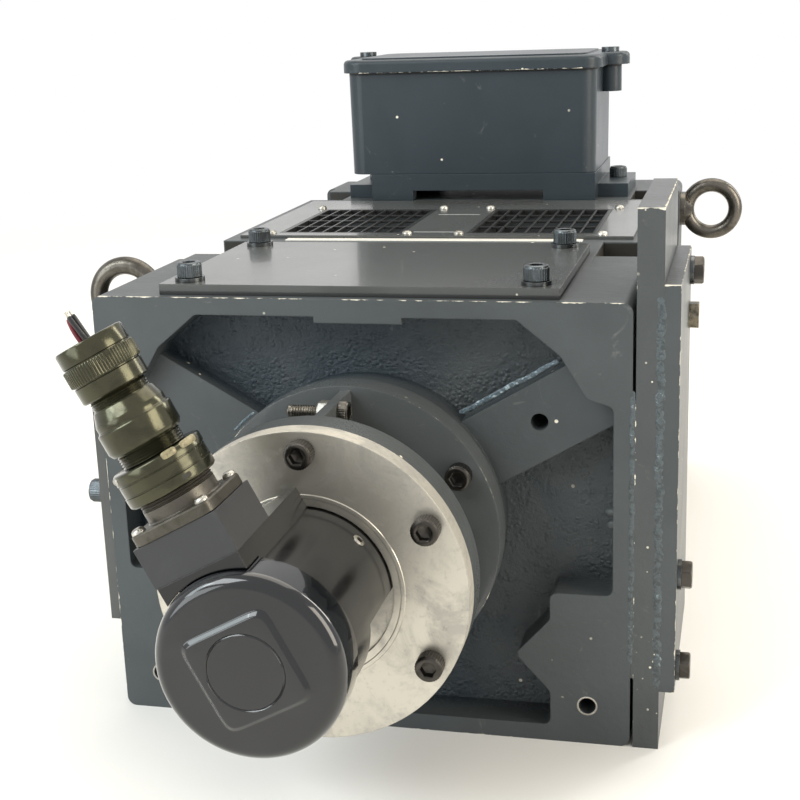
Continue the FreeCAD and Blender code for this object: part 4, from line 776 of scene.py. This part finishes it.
# Screw across the bell's upper rib: heights from the rib's middle and radii, in millimetres
CROSS_SEAT = (0, face_y - 28 * MM, 53 * MM)
RIB_HALF = 2.0
CROSS_RADIUS, CROSS_THREAD_END, CROSS_LENGTH = 2.5, 17.0, 18.0
CROSS_HEAD_RADIUS, CROSS_HEAD_HEIGHT = 4.25, 4.0
CROSS_FLATS = 8.0 * MM
SHANK_ROWS = [
    (0, 0), (0, CROSS_RADIUS - 0.4),
    *thread(RIB_HALF, CROSS_THREAD_END, CROSS_RADIUS, pitch=1.0, depth=0.5),
    (17.4, CROSS_RADIUS - 0.2), (CROSS_LENGTH, CROSS_RADIUS - 0.8), (CROSS_LENGTH, 0)]
cross_side = turned(hexagon(CROSS_FLATS), -TAU / 12)
cross_nut_rows = [(0, 0), (0, cross_side), (3.3 * MM, cross_side), (4.0 * MM, 0.46 * CROSS_FLATS),
                  (4.0 * MM, 0)]
piece("cross_screw_detail",
      [cap_screw(np.add(CROSS_SEAT, (RIB_HALF * MM, 0, 0)), RIGHT, CROSS_HEAD_RADIUS * MM,
                 CROSS_HEAD_HEIGHT * MM),
       rings(from_mm(SHANK_ROWS), CROSS_SEAT, LEFT, 32)],
      "zinc_steel", replaced=["cross_screw"], finish=screw_steel)
piece("cross_nut", [rings(cross_nut_rows, np.add(CROSS_SEAT, (-RIB_HALF * MM, 0, 0)), LEFT, 36)],
      "zinc_steel", finish=nut_zinc)

# Small marks on the coupling nut: first and last angle; lowest and highest place, least and most
# radius, in millimetres
CLIP_SPANS, CLIP_BAND = ((122, 143), (148, 180)), (69.3, 71.9, 14.6, 15.8)
PIN_SPAN, PIN_BAND = (30, 50), (68.8, 71.2, 14.4, 16.0)
HOLE_SPAN, HOLE_BAND = (131, 145), (60.6, 63.3, 14.9, 15.42)
PATCH_STEPS, PATCH_CLOSING = 24, 6


def nut_patch(first, last, low, high, inner, outer):
    """Band on the coupling nut between two angles and two heights.

    A rounded section, which closes at both ends, is swept about the nut's axis.
    """
    angle = np.radians(np.linspace(first, last, PATCH_STEPS))
    section = np.linspace(0, TAU, 13)
    end = closing(PATCH_STEPS, PATCH_CLOSING)[:, None]
    radius = (inner + outer) / 2 + (outer - inner) / 2 * np.cos(section) * end
    height = (low + high) / 2 + (high - low) / 2 * np.sin(section) * end
    axis = np.array(CONNECTOR_AXIS)
    outward = (np.cos(angle)[:, None] * across_connector
               + np.sin(angle)[:, None] * np.cross(axis, across_connector))
    return np.array(connector_foot) + MM * (height[..., None] * axis
                                            + radius[..., None] * outward[:, None])


piece("nut_clip", [nut_patch(*span, *CLIP_BAND) for span in CLIP_SPANS], "olive_shell",
      "connector_nut", finish=clip_tan)
piece("nut_pin", [nut_patch(*PIN_SPAN, *PIN_BAND)], "zinc_steel", "connector_nut")
# Raised patch in painted shade, in place of the sight hole
piece("nut_sight_hole", [nut_patch(*HOLE_SPAN, *HOLE_BAND)], "olive_shell", "connector_nut",
      finish=hole_shade)

# Cut wires in the open end of the clamp nut: foot, bulge and tip across the axis, in millimetres
WIRE_FOOT, WIRE_TOP, WIRE_RADIUS, TIP_RADIUS = 105.0, 124.0, 0.85, 0.55 * 0.85
WIRE_STEPS, WIRE_CLOSING = 28, 20
WIRE_REFERENCE = np.array((0.3, 1.0, 0.2))
DARK_WIRES = (((-1.4, -1.0), (0.4, -1.0), (1.6, -0.8)), ((-0.8, 0.8), (0.2, 0.9), (0.9, 0.9)))
RED_WIRE = ((-0.4, 0.2), (4.6, 0.0), (1.8, 0.2))
DARK_SHARE, RED_SHARE, TIP_SHARE = (0.0, 0.93), (0.0, 0.9), (0.9, 1.0)


def wire(bow, share, radius):
    """Round surface along a share of a bow.

    Its offset from the connector's axis goes from foot through bulge to tip as it climbs.
    """
    foot, bulge, tip = np.array(bow)
    span = np.linspace(*share, WIRE_STEPS)[:, None]
    shift = (1 - span) ** 2 * foot + 2 * span * (1 - span) * bulge + span ** 2 * tip
    rise = WIRE_FOOT + (WIRE_TOP - WIRE_FOOT) * span
    path = np.array(connector_foot) + MM * (rise * np.array(CONNECTOR_AXIS)
                                            + shift[:, :1] * across_connector
                                            + shift[:, 1:] * np.array(BACK))
    return sweep(path, radius * MM * closing(WIRE_STEPS, WIRE_CLOSING), WIRE_REFERENCE, 14)


piece("dark_wires", [wire(bow, DARK_SHARE, WIRE_RADIUS) for bow in DARK_WIRES], "wire_skin",
      replaced=["wire_tails"])
piece("red_wire", [wire(RED_WIRE, RED_SHARE, WIRE_RADIUS)], "wire_skin", finish=wire_red)
piece("bare_wire_tips", [wire(bow, TIP_SHARE, TIP_RADIUS) for bow in (*DARK_WIRES, RED_WIRE)],
      "zinc_steel", finish=tinned)

# Weld beads and cast lumps
BEAD_STEPS, BEAD_CLOSING, BEAD_WAVE, BEAD_RISE = 320, 40, 9 * MM, 0.34
PLATE_WELD_Z, PLATE_WELD_DEPTH, PLATE_WELD_RADIUS = (57 * MM, -55 * MM), 0.3 * MM, 1.3 * MM
PAD_WELD_TOP, PAD_WELD_GAP, PAD_WELD_DEPTH, PAD_WELD_RADIUS = 94 * MM, 1.0 * MM, 0.5 * MM, 2.1 * MM
PLATE_WANDER, PAD_WANDER, RIB_WANDER = 0.12 * MM, 0.2 * MM, 0.15 * MM
PLATE_SEED, PAD_SEED, RIB_SEED = 3, 5, 8
RIB_BEADS = (((40.0, 43.7), (79.0, 65.9), 0.9), ((-44.6, 41.6), (-53.4, 33.4), 0.55))
RIB_DEPTH = 8 * MM
WALL_LUMPS = ((7.7, 2.3), (2.5, 1.9))
WALL_X, WALL_LUMP_DEPTH, LUMP_LENGTH = 100.8 * MM, 3.0 * MM, 1.6


def bead(start, end, radius, wander, seed):
    """Flat weld bead along a straight run on a face that looks to the front.

    The radius and the line waver by sums of sines, both ends close, and the section is pressed
    down to a share of its width towards the face.
    """
    start, end, reference = np.array(start), np.array(end), np.asarray(FRONT, float)
    span = np.linspace(0, 1, BEAD_STEPS)
    phase = np.random.default_rng(seed).uniform(0, TAU, 6)
    waves = np.linalg.norm(end - start) / BEAD_WAVE * np.array([1, 1.7, 2.9])
    ripple = np.sin(TAU * span[:, None] * waves + phase[:3]).sum(axis=1)
    drift = np.sin(TAU * span[:, None] * waves[:2] * 0.4 + phase[3:5]).sum(axis=1)
    thick = radius * (1 + 0.06 * ripple) * closing(BEAD_STEPS, BEAD_CLOSING)
    side = unit(np.cross(end - start, reference))
    path = start + span[:, None] * (end - start) + wander * drift[:, None] * side
    round_bead = sweep(path, thick, reference, 18)
    height = ((round_bead - path[:, None]) * reference).sum(axis=2, keepdims=True)
    return round_bead - (1 - BEAD_RISE) * height * reference


def lump(center, radius, axis, seed):
    """Rounded stub on a wall: a long half ball whose radius wavers with the angle."""
    phase = np.random.default_rng(seed).uniform(0, TAU, 3)

    def waver(scale):
        """Radius with two and three soft bulges round it, as a function of the angle."""
        return lambda angle: scale * (1 + 0.12 * np.sin(2 * angle + phase[0])
                                      + 0.08 * np.sin(3 * angle + phase[1]))

    rows = [(LUMP_LENGTH * radius * math.sin(tilt), waver(radius * math.cos(tilt)))
            for tilt in np.linspace(0, math.pi / 2, 9)]
    return rings(rows, center, axis, 32)


plate_seam_x = (shield_high.x + plate_low.x) / 2
pad_seam_x = pad_low.x - PAD_WELD_GAP
piece("plate_weld",
      [bead(*((plate_seam_x, face_y + PLATE_WELD_DEPTH, z) for z in PLATE_WELD_Z),
            PLATE_WELD_RADIUS, PLATE_WANDER, PLATE_SEED)], "frame_paint", finish=weld_paint)
piece("pad_weld",
      [bead(*((pad_seam_x, face_y + PAD_WELD_DEPTH, z) for z in (PAD_WELD_TOP, pad_low.z)),
            PAD_WELD_RADIUS, PAD_WANDER, PAD_SEED)], "frame_paint", finish=weld_paint)
piece("rib_beads",
      [bead(*((x * MM, face_y + RIB_DEPTH, z * MM) for x, z in ends), size * MM, RIB_WANDER,
            RIB_SEED) for *ends, size in RIB_BEADS], "frame_paint", finish=bead_paint)
piece("wall_lumps", [lump((WALL_X, face_y + WALL_LUMP_DEPTH, z * MM), size * MM, LEFT, seed)
                     for seed, (z, size) in enumerate(WALL_LUMPS)], "frame_paint")

# Thin trim: plain strip and fine lines by the vent panel, lip on the adapter ring, set screw on
# the encoder
STRIP_X, STRIP_DEPTH, STRIP_WIDTH = (-71 * MM, 73 * MM), 139.5 * MM, 5.5 * MM
STRIP_HEIGHT, STRIP_BEVEL = 0.35 * MM, 0.2 * MM
LINE_HALF, LINE_DEPTHS, LINE_WIDTH = 11 * MM, (157 * MM, 216 * MM), 1.0 * MM
LINE_HEIGHT, LINE_BEVEL = 0.08 * MM, 0.04 * MM
TRIM_SUNK = 0.1 * MM
LIP_INNER, LIP_OUTER, LIP_HEIGHT, LIP_BEVEL = 33.6 * MM, 35.4 * MM, 0.3 * MM, 0.2 * MM
SET_SCREW_ANGLE, SET_SCREW_DEPTH, SET_SCREW_RADIUS = 46.0, 77 * MM, 2.3 * MM
SET_SCREW_EDGE, SET_SCREW_HEIGHT = 0.3 * MM, 0.6 * MM
yoke_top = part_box("stator_yoke")[1].z
panel_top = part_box("vent_panel")[1].z
ring_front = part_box("adapter_ring")[0].y
encoder_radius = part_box("encoder_body")[1].x

piece("blank_strip",
      [slab((STRIP_X[0], face_y + STRIP_DEPTH, yoke_top - TRIM_SUNK),
            (STRIP_X[1], face_y + STRIP_DEPTH + STRIP_WIDTH, yoke_top + STRIP_HEIGHT),
            STRIP_BEVEL)], "panel_paint", finish=strip_white)
piece("panel_lines",
      [slab((-LINE_HALF, face_y + depth, panel_top - TRIM_SUNK),
            (LINE_HALF, face_y + depth + LINE_WIDTH, panel_top + LINE_HEIGHT), LINE_BEVEL)
       for depth in LINE_DEPTHS], "panel_paint", finish=line_pale)
lip_rows = [(0, LIP_INNER), (LIP_HEIGHT, LIP_INNER + LIP_BEVEL),
            (LIP_HEIGHT, LIP_OUTER - LIP_BEVEL), (0, LIP_OUTER)]
piece("adapter_lip", [rings(lip_rows, (0, ring_front, 0), FRONT, 128)], "turned_aluminium")
set_socket = hexagon(SET_SCREW_RADIUS)
set_rows = [(0, SET_SCREW_RADIUS), (SET_SCREW_EDGE, SET_SCREW_RADIUS),
            (SET_SCREW_HEIGHT, 0.8 * SET_SCREW_RADIUS), (SET_SCREW_HEIGHT, set_socket),
            (-SET_SCREW_HEIGHT, set_socket), (-SET_SCREW_HEIGHT, 0)]
set_seat = about_shaft(encoder_radius, SET_SCREW_ANGLE, face_y - SET_SCREW_DEPTH)
piece("set_screw", [rings(set_rows, set_seat, about_shaft(1.0, SET_SCREW_ANGLE, 0))], "zinc_steel")

# Encoder cap: rolled front edge, raised square with soft slopes, ring groove. Heights and radii
# are in millimetres
CAP_BACK = 120 * MM
CAP_RADIUS, CAP_EDGE, CAP_FACE, CAP_CHAMFER = 31.7, 4.5, 16.5, 0.3
SQUARE_SLOPE = ((0.0, 17.0), (0.05, 16.7), (0.25, 16.4), (0.95, 15.55), (1.15, 15.25), (1.2, 14.9))
RING_GROOVE = ((1.2, 13.3), (1.0, 13.15), (0.85, 12.9), (1.0, 12.65), (1.2, 12.5), (1.2, 0.0))
cap_rows = [
    (0, 0), (0, CAP_RADIUS - CAP_CHAMFER), (CAP_CHAMFER, CAP_RADIUS),
    *((CAP_FACE - CAP_EDGE + CAP_EDGE * math.sin(roll),
       CAP_RADIUS - CAP_EDGE + CAP_EDGE * math.cos(roll))
      for roll in np.linspace(0, math.pi / 2, 12)),
    *((CAP_FACE + height, turned(rounded_square(half), CONNECTOR_LEAN))
      for height, half in SQUARE_SLOPE),
    *((CAP_FACE + height, radius) for height, radius in RING_GROOVE)]
piece("encoder_cap_detail", [rings(from_mm(cap_rows), (0, face_y - CAP_BACK, 0), FRONT, 192)],
      "encoder_black", replaced=["encoder_cap"], finish=cap_black)

# Bright rims round the tapped holes of the encoder-end shield
TAP_RADIUS, RIM_WIDTH, RIM_HEIGHT, RIM_BEVEL = 3.4 * MM, 0.7 * MM, 0.12 * MM, 0.2 * MM
FACE_TAPS = [(side * 90.7 * MM, -73.6 * MM) for side in (-1, 1)]
rim_rows = [(0, TAP_RADIUS), (RIM_HEIGHT, TAP_RADIUS + RIM_BEVEL),
            (RIM_HEIGHT, TAP_RADIUS + 0.4 * RIM_WIDTH), (0, TAP_RADIUS + RIM_WIDTH)]
piece("tap_rims", [rings(rim_rows, (x, face_y, z), FRONT) for x, z in FACE_TAPS], "shaft_steel")


def stand(made, right, upright, backward, place):
    """Put a camera or lamp in the scene, from its own three directions and its place."""
    matrix = np.eye(4)
    matrix[:3, 0] = right
    matrix[:3, 1] = upright
    matrix[:3, 2] = backward
    matrix[:3, 3] = place
    made.matrix_world = matrix.T.tolist()
    bpy.context.scene.collection.objects.link(made)


def camera():
    """Camera at the photographed angle: turned about Z, pitched, then rolled."""
    turn, pitch, roll = (math.radians(angle) for angle in (CAMERA_TURN, CAMERA_PITCH, CAMERA_ROLL))
    ahead = np.array([math.sin(turn) * math.cos(pitch), math.cos(turn) * math.cos(pitch),
                      math.sin(pitch)])
    level = np.array([math.cos(turn), -math.sin(turn), 0.0])
    upright = np.cross(level, ahead)
    eye = bpy.data.cameras.new("camera")
    eye.lens = CAMERA_LENS
    eye.sensor_width = CAMERA_SENSOR
    made = bpy.data.objects.new("camera", eye)
    stand(made, math.cos(roll) * level + math.sin(roll) * upright,
          -math.sin(roll) * level + math.cos(roll) * upright, -ahead, CAMERA_PLACE)
    bpy.context.scene.camera = made


def lamp(name, place, size, watts, colour):
    """Rectangular area lamp that faces the aim point."""
    light = bpy.data.lights.new(name, "AREA")
    light.shape = "RECTANGLE"
    light.size, light.size_y = size
    light.energy = watts
    light.color = colour
    backward = unit(np.subtract(place, AIM_POINT))
    right = unit(np.cross(UP, backward))
    stand(bpy.data.objects.new(name, light), right, np.cross(backward, right), backward, place)


def background_rays(tree):
    """1 for the rays that show the white background: direct, mirrored, or through a clear piece."""
    path = tree.nodes.new("ShaderNodeLightPath")
    direct, mirrored, through = (
        Field(tree, path.outputs[name])
        for name in ("Is Camera Ray", "Is Glossy Ray", "Is Transmission Ray"))
    return direct.largest(mirrored).largest(through)


def floor():
    """Wide pale floor whose far part fades to the white of the backdrop."""
    mesh = bpy.data.meshes.new("floor")
    corners = [(x * FLOOR_HALF, y * FLOOR_HALF, floor_z)
               for x, y in ((-1, -1), (1, -1), (1, 1), (-1, 1))]
    mesh.from_pydata(corners, [], [(0, 1, 2, 3)])
    finish = Finish("floor", {"Base Color": FLOOR_PALE, "Roughness": 0.7})
    far = finish.place.length().above(FADE_MIDDLE, FADE_WIDTH) * background_rays(finish.tree)
    white = finish.tree.nodes.new("ShaderNodeEmission")
    near_shade, far_shade = (Field(finish.tree, shade.outputs[0])
                             for shade in (finish.shader, white))
    mixed = far.node("ShaderNodeMixShader", None, {0: far, 1: near_shade, 2: far_shade})
    finish.tree.links.new(mixed.socket, finish.tree.nodes["Material Output"].inputs["Surface"])
    mesh.materials.append(finish.material)
    made = bpy.data.objects.new("floor", mesh)
    bpy.context.scene.collection.objects.link(made)


def backdrop():
    """World: a white background, and a dim room with a warm ceiling for the light on surfaces."""
    world = bpy.data.worlds.new("studio")
    bpy.context.scene.world = world
    world.use_nodes = True
    tree = world.node_tree
    toward = Field(tree, tree.nodes.new("ShaderNodeTexCoord").outputs["Generated"])
    room = toward.axis("Z").above(0.5, 0.7).blend(ROOM_LOW, ROOM_HIGH)
    colour = background_rays(tree).blend(room, WHITE)
    tree.links.new(colour.socket, tree.nodes["Background"].inputs["Color"])


bpy.context.scene.view_settings.view_transform = "Standard"
camera()
floor()
backdrop()
lamp("key_lamp", (-1.1, -1.5, 1.4), size=(1.0, 1.0), watts=23.0, colour=COOL_LIGHT)
lamp("side_lamp", (-1.43, -1.2, 0.83), size=(0.5, 0.7), watts=6.5, colour=BLUE_LIGHT)
lamp("low_lamp", (-1.1, -1.55, 0.2), size=(0.9, 0.6), watts=6.0, colour=COOL_LIGHT)
lamp("warm_lamp", (1.5, -0.7, 0.6), size=(0.8, 1.2), watts=19.0, colour=WARM_LIGHT)
lamp("rim_lamp", (1.2, 0.9, 0.9), size=(0.3, 1.2), watts=10.0, colour=SOFT_LIGHT)
lamp("top_lamp", (0.1, 0.4, 1.6), size=(1.4, 1.4), watts=14.0, colour=CEILING_LIGHT)
